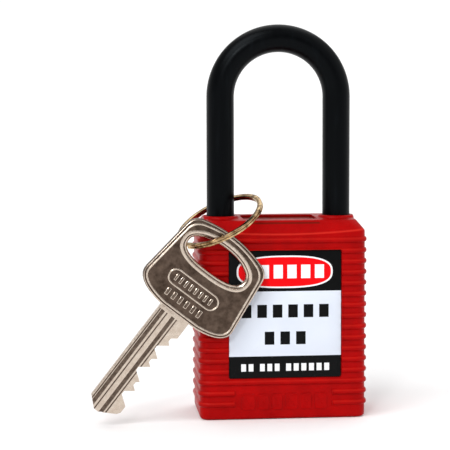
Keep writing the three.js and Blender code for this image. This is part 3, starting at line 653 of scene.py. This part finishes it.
def printed(name, centre_x, centre_z, mirror):
    """Label print: `mirror` is -1 on the rear face, where +X runs to the reader's left."""
    vinyl = Finish(name, specular_ior_level=0.1)
    x, _, z = vinyl.axes()
    x = (x - centre_x) * mirror
    z = z - centre_z

    def row(middle_z, height, starts):
        """Blocks of one row: (start, width) pairs in millimetres from the label's middle."""
        band = abs(z - middle_z) < height / 2
        blocks = None
        for start, width in starts:
            one = x.between(start, start + width)
            blocks = one if blocks is None else blocks + one
        return band * blocks

    def spread(count, width, gap, start):
        return [(start + i * (width + gap), width) for i in range(count)]

    def oval(halves):
        """Less than 1 inside a squarish oval."""
        wide = (abs(x - OVAL_X) / halves[0]) ** OVAL_SQUARENESS
        return wide + (abs(z - OVAL_Z) / halves[1]) ** OVAL_SQUARENESS

    head = z > HEAD_FROM
    foot = z < FOOT_FROM
    head_words = row(*HEAD_ROW, spread(6, 2.1, 1.05, -8.95))
    first_words = row(*FIRST_ROW, spread(6, 2.2, 1.35, -9.95))
    second_words = row(*SECOND_ROW, spread(3, 2.2, 1.4, -4.7))
    foot_places = spread(2, 1.1, 0.6, -10.1) + spread(3, 1.1, 0.6, -5.8) + spread(6, 1.15, 0.61, 0.2)
    foot_words = row(*FOOT_ROW, foot_places)

    cloud = vinyl.noise(9, 2)
    white = vinyl.blend(cloud, colour("d3dbe8"), colour("e4eaf5"))
    ink = colour("060708")
    paint = vinyl.blend(head + foot, white, ink)
    paint = vinyl.blend(oval(RIM_HALVES) < 1, paint, colour("f4f6fa"))
    paint = vinyl.blend(oval(OVAL_HALVES) < 1, paint, colour("f5050f"))
    paint = vinyl.blend(head_words + foot_words, paint, colour("f4f6fa"))
    paint = vinyl.blend(first_words + second_words, paint, ink)
    vinyl.feed("Base Color", paint)
    skin = vinyl.noise(0.7, 3)
    vinyl.feed("Roughness", skin.ramp(0.3, 0.7, 0.28, 0.42))
    vinyl.bump(skin, 0.02, 0.35)
    return vinyl


def label(name, node, side):
    low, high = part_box(node)
    low, high = low / MM, high / MM
    sheet = block(name, low.x, high.x, low.y, high.y, low.z, high.z)
    round_corners(sheet, "y", 0.45, 4)
    outer = low.y if side < 0 else high.y
    pick("EDGE", lambda at, e: abs(at.y - outer) < 0.001)
    bpy.ops.mesh.bevel(offset=0.06, segments=2, affect="EDGES")
    tidy(sheet)
    middle = (low + high) / 2
    print_finish = printed(name + "_print", middle.x, middle.z, -side)
    hand_over(sheet, print_finish.material, "case", "label_vinyl", node)


label("label_front", "front_label", -1)
label("label_rear", "rear_label", 1)

# %% [markdown]
# ## The shackle
# A quarter inch nylon bar bent to a U. One leg is short and has the notch that the bolt enters. The
# long leg has a groove for its clip and a thin end inside the spring. A curve with a round bevel would
# also make the bend, but a disc that is extruded up one leg, spun over the crown and extruded down the
# other keeps every ring in hand.

# %% Shackle bar
CROWN_Z = shackle_middle.z + shackle_half.z - LEG_X - BAR_RADIUS
HEEL_END = 18.0
SPIGOT_END = shackle_middle.z - shackle_half.z
CLIP_LOW = 19.35
CLIP_HIGH = 20.45
CLIP_DEEP = 1
TOE_EASE = 0.8
HEEL_EASE = 0.3
SPIGOT_RADIUS = 1.8


def climb(rise):
    bpy.ops.mesh.extrude_region_move(TRANSFORM_OT_translate={"value": (0, 0, rise)})


def draw_in(share, x, z):
    bpy.ops.transform.resize(value=(share, share, 1), center_override=(x, 0, z))


clear()
bpy.ops.mesh.primitive_circle_add(
    vertices=56,
    radius=(BAR_RADIUS - TOE_EASE),
    fill_type="NGON",
    location=(-LEG_X, 0, TOE_END),
)
bow = bake_place("shackle_bar")
edit(bow)
bpy.ops.mesh.select_all(action="SELECT")
climb(TOE_EASE)
draw_in(BAR_RADIUS / (BAR_RADIUS - TOE_EASE), -LEG_X, TOE_END + TOE_EASE)
climb(CROWN_Z - TOE_END - TOE_EASE)
bpy.ops.mesh.spin(steps=72, angle=-math.pi, center=(0, 0, CROWN_Z), axis=(0, 1, 0))
climb(CLIP_HIGH - CROWN_Z)
groove_share = (BAR_RADIUS - CLIP_DEEP) / BAR_RADIUS
climb(0)
draw_in(groove_share, LEG_X, CLIP_HIGH)
climb(CLIP_LOW - CLIP_HIGH)
climb(0)
draw_in(1 / groove_share, LEG_X, CLIP_LOW)
climb(HEEL_END + HEEL_EASE - CLIP_LOW)
climb(-HEEL_EASE)
draw_in((BAR_RADIUS - HEEL_EASE) / BAR_RADIUS, LEG_X, HEEL_END)
climb(0)
draw_in(SPIGOT_RADIUS / (BAR_RADIUS - HEEL_EASE), LEG_X, HEEL_END)
climb(SPIGOT_END - HEEL_END)
bpy.ops.mesh.select_all(action="SELECT")
bpy.ops.mesh.normals_make_consistent(inside=False)
bpy.ops.object.mode_set(mode="OBJECT")
print("crown centre at", CROWN_Z)

# %% [markdown]
# The notch has a level roof and a long ramp below, so that the bolt slides out of it as the leg rises.
# The ramp's slope is the leg's travel over the bolt's. A block is drawn to that wedge by moving its
# outer edges, then cut out of the leg.

# %% Notch
LEG_TRAVEL = 12
BOLT_TRAVEL = 3.394
NOTCH_HALF = 4
notch_floor = -LEG_X + BAR_RADIUS - 1.2
notch_out = -LEG_X + BAR_RADIUS + 1
notch_run = notch_out - notch_floor
notch = block("notch", notch_floor, notch_out, -NOTCH_HALF, NOTCH_HALF, bolt_low, bolt_high)
edit(notch)
pick("EDGE", lambda at, e: at.x > notch_out - 0.01 and at.z < bolt_low + 0.01)
bpy.ops.transform.translate(value=(0, 0, -notch_run * LEG_TRAVEL / BOLT_TRAVEL))
pick("EDGE", lambda at, e: at.x > notch_out - 0.01 and at.z > bolt_high - 0.01)
bpy.ops.transform.translate(value=(0, 0, notch_run))
carve(bow, notch)
tidy(bow)
hand_over(bow, black.material, "shackle", "black_nylon", "shackle")

# %% [markdown]
# ## The key
# Keys are stamped from sheet: a rounded bow with a slot for the ring, raised rims, and a milled blade.
# It is drawn flat, blade down, cuts to the right, then turned and moved to where it hangs. An outline
# starts as a circle with as many corners as it needs, whose corners are then set along the outline.

# %% Flat outlines
KEY_AT = (-24.995, -12.2, 25.096)
KEY_LEAN = math.radians(37.8)
KEY_PLACE = Matrix.Translation(KEY_AT) @ Matrix.Rotation(KEY_LEAN, 4, "Y")


def outline(name, points, low, high):
    """A plate: the points are (across, along), and it runs from low to high through its thickness."""
    clear()
    bpy.ops.mesh.primitive_circle_add(vertices=len(points), radius=1, fill_type="NGON")
    made = bake_place(name)
    edit(made)
    mesh = bmesh.from_edit_mesh(made.data)
    mesh.verts.ensure_lookup_table()
    for vertex, (across, along) in zip(mesh.verts, points):
        vertex.co = Vector((across, low, along))
    bmesh.update_edit_mesh(made.data)
    bpy.ops.mesh.select_all(action="SELECT")
    bpy.ops.mesh.extrude_region_move(TRANSFORM_OT_translate={"value": (0, (high - low), 0)})
    bpy.ops.mesh.select_all(action="SELECT")
    bpy.ops.mesh.normals_make_consistent(inside=False)
    bpy.ops.object.mode_set(mode="OBJECT")
    return made


def bend(a, b, c, steps):
    """Points after a, along the curve that leaves a and reaches c with its corner at b."""
    a, b, c = Vector(a), Vector(b), Vector(c)
    share = [i / steps for i in range(1, steps + 1)]
    return [tuple(a * (1 - t) ** 2 + b * 2 * t * (1 - t) + c * t * t) for t in share]


# %% [markdown]
# The bow is a rounded trapezoid, wider by the blade. Its edges are rounded by the stamping. The slot is
# arched towards the head, and flatter and squarer towards the blade. Its tool is wider at both faces
# than in the middle, so the cut leaves a rolled lip like the real one.

# %% Bow
BOW_HALF = 1.15
FOOT_HALF = 11.7
HEAD_HALF = 9.9
BOW_LONG = 22.4
HEAD = 20.0
CUT_SIDE = 1.3
SLOT_X, SLOT_Z = 0.2, 15.4
SLOT_HALF_X, SLOT_HALF_Z = 7.8, 3.2
LIP = 0.55
LIP_STEPS = ((0.2, 0.22), (0.02, 0.35), (0, 0.4), (0.02, 0.38), (0.2, 0.35), (LIP, 0.22), (LIP, 0.4))


def slot_outline(extra, count=72):
    """The slot's edge, or a line `extra` outside it."""
    points = []
    for i in range(count):
        turn = 2 * math.pi * i / count
        across, along = math.cos(turn), math.sin(turn)
        if along < 0:
            across = math.copysign(abs(across) ** 0.8, across)
            along = -(abs(along) ** 0.72)
        across *= SLOT_HALF_X + extra
        along *= SLOT_HALF_Z + extra
        points.append((SLOT_X + across, SLOT_Z + along))
    return points


def bow_outline(inset=0.0):
    """The bow's edge, or a line `inset` inside it. The side over the cuts is wider."""
    foot, head = FOOT_HALF - inset, HEAD_HALF - inset
    foot_right, head_right = foot + CUT_SIDE, head + CUT_SIDE
    top = HEAD - inset
    crown = (CUT_SIDE / 2, BOW_LONG + 0.8 - inset)
    edge = [(-3.9 + inset * 0.3, inset)]
    edge += bend(edge[-1], (-foot - 0.6, 1 + inset), (-foot, 5.1), 8)
    edge += [(-head - 0.3, top - 2)]
    edge += bend(edge[-1], (-head, top), (-head + 2, top + 0.8), 6)
    edge += bend(edge[-1], crown, (head_right - 2, top + 0.4), 16)
    edge += bend(edge[-1], (head_right, top - 0.4), (head_right + 0.3, top - 2.4), 6)
    edge += [(foot_right, 4.8)]
    edge += bend(edge[-1], (foot_right + 0.6, 0.8 + inset), (5.9 - inset * 0.3, inset), 8)
    return edge


key = outline("padlock_key", bow_outline(), -BOW_HALF, BOW_HALF)
edit(key)
pick("EDGE", lambda at, e: abs(direction(e).y) < 0.1 and abs(at.y) > BOW_HALF - 0.01)
bpy.ops.mesh.bevel(offset=0.32, segments=3, affect="EDGES")
lip_start = -BOW_HALF - 0.01
slot_tool = outline("slot_tool", slot_outline(LIP), lip_start - 0.44, lip_start)
edit(slot_tool)
pick("FACE", lambda at, f: at.y > lip_start - 0.01)
for extra, deep in LIP_STEPS:
    verts = bmesh.from_edit_mesh(slot_tool.data).verts
    wide = max(v.co.x for v in verts if v.select) - SLOT_X
    tall = wide - SLOT_HALF_X + SLOT_HALF_Z
    bpy.ops.mesh.extrude_region_move(TRANSFORM_OT_translate={"value": (0, deep, 0)})
    bpy.ops.transform.resize(
        value=((SLOT_HALF_X + extra) / wide, 1, (SLOT_HALF_Z + extra) / tall),
        center_override=(SLOT_X, 0, SLOT_Z),
    )
bpy.ops.object.mode_set(mode="OBJECT")
carve(key, slot_tool)
print("bow", len(key.data.polygons), "faces")

# %% [markdown]
# Raised lines on the bow are drawn as closed wires of a curve with a round bevel: one just inside the
# edge, one round the slot, and an oval frame. They are sunk a hair past half their thickness, because a
# union of edges that lie exactly in the face leaves it torn. Blank bars stand where the real key has
# words. The rear has the frame and the bars but no other line, because its upper edge swings close to
# the body.

# %% Raised lines and blank bars
WIRE_SINK = 0.04
BAR_ROOT = 0.3
FRAME_CENTRE = (0.0, 6.9)
FRAME_HALVES = (6.6, 1.75)
# A row of bars: how many, first place, step, height up the bow, then each bar's width, length, thickness.
BAR_ROWS = ((8, -4.75, 1.36, 6.9, 0.7, 1.75, 0.12), (6, -4.4, 1.76, 3.2, 0.95, 1.9, 0.1))


def raised_line(points, face, radius, proud):
    """A closed round wire, flattened so that it stands about `proud` of the face at y = face."""
    path = bpy.data.curves.new("line", "CURVE")
    path.dimensions = "3D"
    path.bevel_depth = radius
    path.bevel_resolution = 2
    spline = path.splines.new("POLY")
    spline.points.add(len(points) - 1)
    for spot, (across, along) in zip(spline.points, points):
        spot.co = (across, 0, along, 1)
    spline.use_cyclic_u = True
    made = bpy.data.objects.new("line", path)
    bpy.context.scene.collection.objects.link(made)
    clear()
    bpy.context.view_layer.objects.active = made
    made.select_set(True)
    bpy.ops.object.convert(target="MESH")
    bpy.ops.object.mode_set(mode="EDIT")
    bpy.ops.mesh.select_all(action="SELECT")
    bpy.ops.transform.resize(value=(1, proud / radius, 1), center_override=(0, 0, 0))
    bpy.ops.transform.translate(value=(0, face - math.copysign(WIRE_SINK, face), 0))
    bpy.ops.mesh.normals_make_consistent(inside=False)
    bpy.ops.object.mode_set(mode="OBJECT")
    return made


def stadium(half_across, half_along, centre, steps=10):
    """A flat oval: two half circles and the straight lines between them."""
    run = half_across - half_along
    points = []
    for side in (1, -1):
        for i in range(steps + 1):
            turn = -math.pi / 2 + math.pi * i / steps
            across = side * (run + half_along * math.cos(turn))
            along = side * half_along * math.sin(turn)
            points.append((centre[0] + across, centre[1] + along))
    return points


def raised_bar(across, along, wide, tall, face, proud):
    low, high = sorted((face - math.copysign(BAR_ROOT, face), face + math.copysign(proud, face)))
    left, foot = across - wide / 2, along - tall / 2
    made = block("mark", left, across + wide / 2, low, high, foot, along + tall / 2)
    edit(made)
    bpy.ops.mesh.select_all(action="SELECT")
    bpy.ops.mesh.bevel(offset=min(wide, tall, 0.6) * 0.3, segments=2, affect="EDGES")
    return made


marks = []
for face in (-BOW_HALF, BOW_HALF):
    if face < 0:
        grow(key, raised_line(bow_outline(0.85), face, 0.28, 0.2))
        grow(key, raised_line(slot_outline(1.15), face, 0.45, 0.24))
    grow(key, raised_line(stadium(*FRAME_HALVES, FRAME_CENTRE), face, 0.25, 0.18))
    for count, first, step, along, wide, tall, proud in BAR_ROWS:
        for i in range(count):
            marks.append(raised_bar(first + i * step, along, wide, tall, face, proud))
print("bow with lines", len(key.data.polygons), "faces", len(marks), "bars")

# %% [markdown]
# The blade is one plate with six cuts along its right edge and a bevelled tip, and three milled
# grooves, two on the front and one on the back between them. Three fine lines on the front are marks of
# the milling. The bars are joined on last, each a closed shell that stands in the bow, because a union
# of so many tiny solids drops some of their faces.

# %% Blade
PIN_PITCH = 3.15
BLADE_LONG = 27.9
BLADE_HALF = 3.9
BLADE_THICK = 2.2
CUT_DEPTHS = (1.2, 2.7, 1.9, 3.1, 1.5, 2.4)
FIRST_CUT = 5.4
CUT_FLAT = 0.9
CUT_SLOPE = 1.35
TIP = -BLADE_LONG
CUTS_FROM, CUTS_TO = TIP + 2.8, -1.2
BLADE_GROOVES = ((-2.6, -1), (-1.2, 1), (0.2, -1))  # place across, and -1 for the front or 1 for the back
GROOVE_HALF, GROOVE_DEEP = 0.45, 0.5
MILLING_LINES = (-3.35, -1.5, 1.15)
LINE_HALF, LINE_DEEP = 0.16, 0.12
GROOVE_TOP = -0.8


def blade_edge(along):
    """The cut edge at a height below the shoulder: each cut has a flat floor and sloping sides."""
    reach = BLADE_HALF
    for i, depth in enumerate(CUT_DEPTHS):
        away = abs(along + FIRST_CUT + i * PIN_PITCH) - CUT_FLAT / 2
        reach = min(reach, BLADE_HALF - depth + max(0, away) * CUT_SLOPE)
    return reach


def blade_outline(count=150):
    """The left edge down to the tip, the tip, and the cut edge in `count` steps back up."""
    points = [(-BLADE_HALF, 1), (-BLADE_HALF, TIP + 2.2), (-BLADE_HALF + 2.4, TIP)]
    points += [(-0.2, TIP), (blade_edge(CUTS_FROM) - 0.6, TIP + 2.0)]
    for i in range(count + 1):
        along = CUTS_FROM + (CUTS_TO - CUTS_FROM) * i / count
        points.append((blade_edge(along), along))
    return points + [(BLADE_HALF, 1)]


blade = outline("blade", blade_outline(), -BLADE_THICK / 2, BLADE_THICK / 2)
edit(blade)
pick("EDGE", lambda at, e: abs(direction(e).y) < 0.1 and abs(at.x + BLADE_HALF) < 0.01)
bpy.ops.mesh.bevel(offset=0.25, segments=2, affect="EDGES")
for centre, side in BLADE_GROOVES:
    face = side * BLADE_THICK / 2
    low, high = sorted((face - side * GROOVE_DEEP, face + side))
    groove = block("groove", centre - GROOVE_HALF, centre + GROOVE_HALF, low, high, TIP - 1, GROOVE_TOP)
    edit(groove)
    pick("EDGE", lambda at, e: abs(direction(e).z) > 0.9 and abs(at.y) < BLADE_THICK / 2)
    bpy.ops.mesh.bevel(offset=0.15, segments=2, affect="EDGES")
    carve(blade, groove)
for centre in MILLING_LINES:
    left, right = centre - LINE_HALF, centre + LINE_HALF
    bottom = -BLADE_THICK / 2 + LINE_DEEP
    carve(blade, block("line", left, right, -BLADE_THICK, bottom, TIP - 1, GROOVE_TOP))
grow(key, blade)
clear()
for made in (*marks, key):
    made.select_set(True)
bpy.context.view_layer.objects.active = key
bpy.ops.object.join()
print("key with blade and bars", len(key.data.polygons), "faces")

# %% [markdown]
# Handling wears what stands proud, and the key has three finishes, sorted by the place of each face.
# Edges and raised lines show wear and carry a painted highlight, groove floors carry painted shade, and
# the flats stay dull between the two. The outer edge on the left and at the head carries painted shade
# too, and the blank bars have a painted highlight on their edges round a top in painted shade.

# %% Wear and painted light
BARS_REACH = 5.5
BARS_LOW_ROW, BARS_HIGH_ROW = (2, 4.4), (5.9, 7.9)
BLADE_FROM = -0.2
GROOVES_LEFT, GROOVES_RIGHT = -3.6, 1.35
DARK_LEFT, DARK_HEAD = -8, 19.3


def in_bars(at):
    low, high = BARS_LOW_ROW, BARS_HIGH_ROW
    return abs(at.x) < BARS_REACH and (low[0] < at.z < low[1] or high[0] < at.z < high[1])


def is_flat(face):
    return abs(face.normal.y) > 0.985


# Faces that show wear and carry a painted highlight: edges, raised lines, and the sides of the bars.
def is_worn_highlight(at, face):
    if in_bars(at):
        return not is_flat(face) and abs(at.y) > BOW_HALF + 0.01
    if at.z > BLADE_FROM:
        return not is_flat(face) or abs(at.y) > BOW_HALF + 0.05
    return abs(at.y) > BLADE_THICK / 2 - 0.02 or not is_flat(face)


# Faces in painted shade: the groove floors, the outer edge on the left and at the head, and the tops of
# the bars.
def is_dark(at, face):
    if in_bars(at):
        return abs(at.y) > BOW_HALF + 0.05 and is_flat(face)
    if at.x < DARK_LEFT or at.z > DARK_HEAD:
        return abs(face.normal.y) < 0.9 and abs(at.y) < BOW_HALF + 0.01
    in_groove = GROOVES_LEFT < at.x < GROOVES_RIGHT and abs(at.y) < BLADE_THICK / 2 - 0.02
    return at.z < BLADE_FROM and in_groove and abs(at.y) > 0.3


for made in (nickel, worn_highlight, shaded_nickel):
    key.data.materials.append(made.material)
edit(key)
# Slot 1 takes the faces with wear and a painted highlight, slot 2 the faces in painted shade.
for index, rule in ((1, is_worn_highlight), (2, is_dark)):
    found = pick("FACE", rule)
    key.active_material_index = index
    bpy.ops.object.material_slot_assign()
    print(rule.__name__, found, "faces")
bpy.ops.object.mode_set(mode="OBJECT")
key.data.transform(KEY_PLACE)
tidy(key)
hand_over(key, None, "key", "nickel", "key")

# %% [markdown]
# ## The split ring
# A flat strip wound twice, so that it can be sprung open and threaded on. The first turn lies under the
# second, and the strip climbs from one to the other in a short slope, past the two cut ends. The
# strip's end is extruded a step at a time, turned about the ring's axis, and lifted where it climbs.

# %% Split ring
RING_CENTRE = Vector((-14.05, -5.2, 45.2))
RING_LEAN = math.radians(30.2)
RING_TOWARDS = math.radians(212)
RING_PLACE = (
    Matrix.Translation(RING_CENTRE)
    @ Matrix.Rotation(RING_TOWARDS, 4, "Z")
    @ Matrix.Rotation(RING_LEAN, 4, "Y")
)
RING_RADIUS = 10.05
STRIP_WIDE = 1.15
STRIP_THICK = 0.52
RING_LIFT = 0.56
STEP = 5
CLIMB_HALF = 20
FIRST_SLICE = 0.005
TWO_TURNS = 720

ring = block(
    "split_ring",
    RING_RADIUS - STRIP_WIDE / 2,
    RING_RADIUS + STRIP_WIDE / 2,
    -FIRST_SLICE,
    0,
    -RING_LIFT / 2 - STRIP_THICK / 2,
    -RING_LIFT / 2 + STRIP_THICK / 2,
)
round_corners(ring, "y", 0.16, 2)
pick("FACE", lambda at, f: f.normal.y > 0.9)
angle = 0.0
while angle < TWO_TURNS - 2 * CLIMB_HALF - 1:
    angle += STEP
    climbing = 360 - 2 * CLIMB_HALF < angle <= 360
    rise = RING_LIFT * STEP / (2 * CLIMB_HALF) if climbing else 0
    bpy.ops.mesh.extrude_region_move(TRANSFORM_OT_translate={"value": (0, 0, rise)})
    bpy.ops.transform.rotate(value=-math.radians(STEP), orient_axis="Z", center_override=(0, 0, 0))
bpy.ops.mesh.select_all(action="SELECT")
bpy.ops.mesh.normals_make_consistent(inside=False)
bpy.ops.object.mode_set(mode="OBJECT")
ring.data.transform(RING_PLACE)
tidy(ring, 40)
hand_over(ring, plate.material, "ring", "brass_plate", "key_ring")

# %% [markdown]
# ## The base
# A black cover closes the base, with the plug's face showing in its hole. The cover is a plate with an
# eased edge, a raised lip round the hole in a sunk dish, and a sunk panel, so it reads as a moulding
# and not as a blank.

# %% Base cover
PLUG_HOLE = 5.5
LIP_RADIUS = 6.3
DISH_RADIUS = 7.0
SUNK = 0.3
base = block("base_cover", -cover_half.x, cover_half.x, -cover_half.y, cover_half.y, 0, cover_top)
round_corners(base, "z", 2.25, 6)
pick("FACE", lambda at, f: at.z < 0.01)
bpy.ops.mesh.bevel(offset=0.25, segments=2, affect="EDGES")
panel = block("panel", 1.4, 15.2, -6.4, 6.4, -1, SUNK)
round_corners(panel, "z", 1.2, 4)
carve(base, panel)
carve(base, bar("dish", PLUG_X, 0, -1, SUNK, DISH_RADIUS))
grow(base, bar("lip", PLUG_X, 0, 0.02, 0.9, LIP_RADIUS))
carve(base, bar("hole", PLUG_X, 0, -1, cover_top + 1, PLUG_HOLE))
tidy(base)
hand_over(base, plastic.material, "case", "black_plastic", "bottom_cover")

# %% [markdown]
# ## The plug
# A brass bar with the keyway broached through it. Thin wards stand in from the keyway's sides and fit
# the key's grooves, so only a key with that section goes in. Six cross holes take the pins.

# %% Plug
PLUG_RADIUS = plug_half.y
PLUG_FACE = plug_middle.z - plug_half.z
PLUG_END = plug_middle.z + plug_half.z
plug = bar("plug_core", PLUG_X, 0, PLUG_FACE, PLUG_END, PLUG_RADIUS, sides=96)
edit(plug)
pick("EDGE", lambda at, e: abs(direction(e).z) < 0.1)
bpy.ops.mesh.bevel(offset=0.2, segments=2, affect="EDGES")
bpy.ops.object.mode_set(mode="OBJECT")
KEYWAY_HALF = 1.2
KEYWAY_LEFT, KEYWAY_RIGHT = PLUG_X - 4.45, PLUG_X + 3.65
KEYWAY_END = 29
WARD_HALF, WARD_PROUD = 0.3, 0.35
BLADE_MIDDLE = PLUG_X + 3.55 - BLADE_HALF
FIRST_PIN = 6.0
PIN_WAY_RADIUS = 1.35
CLIP_SEAT_LOW, CLIP_SEAT_HIGH = 29.3, 30.1
CLIP_SEAT_DEEP = 0.7
keyway = block("keyway", KEYWAY_LEFT, KEYWAY_RIGHT, -KEYWAY_HALF, KEYWAY_HALF, -1, KEYWAY_END)
for centre, side in BLADE_GROOVES:
    at_x = BLADE_MIDDLE + centre
    low, high = sorted((side * (KEYWAY_HALF - WARD_PROUD), side * (KEYWAY_HALF + 0.2)))
    carve(keyway, block("ward", at_x - WARD_HALF, at_x + WARD_HALF, low, high, -2, KEYWAY_END + 1))
carve(plug, keyway)
for i in range(len(CUT_DEPTHS)):
    pin_z = FIRST_PIN + i * PIN_PITCH
    carve(plug, bar("pin_way", 0, pin_z, PLUG_X, PLUG_X + 6, PIN_WAY_RADIUS, sides=24, along="X"))
clip_room = bar("clip_room", PLUG_X, 0, CLIP_SEAT_LOW, CLIP_SEAT_HIGH, PLUG_RADIUS + 1)
core = (CLIP_SEAT_LOW - 0.3, CLIP_SEAT_HIGH + 0.3, PLUG_RADIUS - CLIP_SEAT_DEEP)
carve(clip_room, bar("clip_core", PLUG_X, 0, *core, sides=96))
carve(plug, clip_room)
tidy(plug)
hand_over(plug, brass.material, "plug", "brass", "plug")

# %% [markdown]
# ## The works inside
# These nodes are right as they come: only their finish is missing. Assigning to an object's material
# slot changes the look and leaves the mesh alone.

# %% Finishes of the inner nodes
INNER = {
    "cylinder_housing": brass,
    "pin_chamber_cover": brass,
    "housing_roll_pin": wire,
    "shackle_spring": wire,
    "plug_retaining_clip": wire,
    "shackle_retaining_clip": steel,
    "tail_cam": steel,
    "locking_bolt": steel,
    "bolt_guide": plastic,
}
for i in range(1, 7):
    INNER[f"key_pin_{i}"] = brass
    INNER[f"driver_pin_{i}"] = steel
    INNER[f"pin_spring_{i}"] = wire
for node, made in INNER.items():
    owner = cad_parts[node]
    for place in owner.material_slots:
        place.material = made.material
print("finished", len(INNER), "nodes")

# %% [markdown]
# ## Floor, light and camera
# A pale sheet under a white sky gives even light. The sky is darker high up and towards the front, so
# that black and red stay deep. Three soft suns shape the lock, and a small one puts a glint on its
# edges.

# %% Floor and light
FLOOR_DROP = 0.00005


def stand(azimuth, elevation):
    """The way to something that stands round the lock: degrees from the front, and degrees up."""
    turn, lift = math.radians(azimuth), math.radians(elevation)
    return Vector((math.sin(turn) * math.cos(lift), -math.cos(turn) * math.cos(lift), math.sin(lift)))


def ramp_node(value, low, high, out_low, out_high):
    """Maps low..high of an output to out_low..out_high, held at the ends."""
    made = nodes.new("ShaderNodeMapRange")
    for socket, number in zip(made.inputs[1:5], (low, high, out_low, out_high)):
        socket.default_value = number
    links.new(value, made.inputs["Value"])
    return made.outputs[0]


clear()
bpy.ops.mesh.primitive_plane_add(size=12, location=(0, 0, -FLOOR_DROP))
floor = bpy.context.object
floor.name = "floor"
paper = Finish("pale_paper", roughness=0.9)
shade = paper.noise(400, 2)
paper.feed("Base Color", paper.blend(shade, (0.94, 0.94, 0.94, 1), (0.97, 0.97, 0.97, 1)))
floor.data.materials.append(paper.material)

sky = bpy.data.worlds.new("sky")
bpy.context.scene.world = sky
sky.use_nodes = True
nodes, links = sky.node_tree.nodes, sky.node_tree.links
where = nodes.new("ShaderNodeTexCoord")
split = nodes.new("ShaderNodeSeparateXYZ")
links.new(where.outputs["Generated"], split.inputs[0])
by_height = ramp_node(split.outputs["Z"], 0.12, 0.4, 1.06, 0.5)
by_side = ramp_node(split.outputs["Y"], -0.45, 0.1, 0.5, 1.0)
both = nodes.new("ShaderNodeMath")
both.operation = "MULTIPLY"
links.new(by_height, both.inputs[0])
links.new(by_side, both.inputs[1])
links.new(both.outputs[0], nodes["Background"].inputs["Strength"])
nodes["Background"].inputs["Color"].default_value = (1, 1, 1, 1)


def sun(name, towards, strength, spread):
    """A far lamp that stands `towards` azimuth and elevation; `spread` is how soft it is, in degrees."""
    data = bpy.data.lights.new(name, "SUN")
    data.energy = strength
    data.angle = math.radians(spread)
    made = bpy.data.objects.new(name, data)
    bpy.context.scene.collection.objects.link(made)
    made.rotation_euler = stand(*towards).to_track_quat("Z", "Y").to_euler()


sun("soft_left", (-45, 50), 1.5, 40)
sun("glint", (-20, 26), 0.7, 9)
sun("soft_right", (60, 40), 0.7, 70)
sun("soft_rear", (170, 60), 0.7, 60)
print("sky and", len(bpy.data.lights), "suns")

# %% [markdown]
# The camera stands a little to the left of the face and above it, with a long lens, so the sides hardly
# converge. The lens is shifted to the left, because the key hangs out on that side.

# %% Camera
AZIMUTH, ELEVATION = -6.7, 5.5
DISTANCE = 0.45
aim = Vector((0, 0, 0.045))
away = stand(AZIMUTH, ELEVATION)
lens = bpy.data.cameras.new("camera")
lens.lens = 155.1
lens.sensor_width = 36
lens.shift_x = -0.1184
lens.shift_y = -0.0133
lens.clip_start = 0.01
camera = bpy.data.objects.new("camera", lens)
bpy.context.scene.collection.objects.link(camera)
camera.location = aim + away * DISTANCE
camera.rotation_euler = (-away).to_track_quat("-Z", "Y").to_euler()
bpy.context.scene.camera = camera
bpy.context.scene.view_settings.view_transform = "Standard"
print("camera at", tuple(round(c, 4) for c in camera.location))
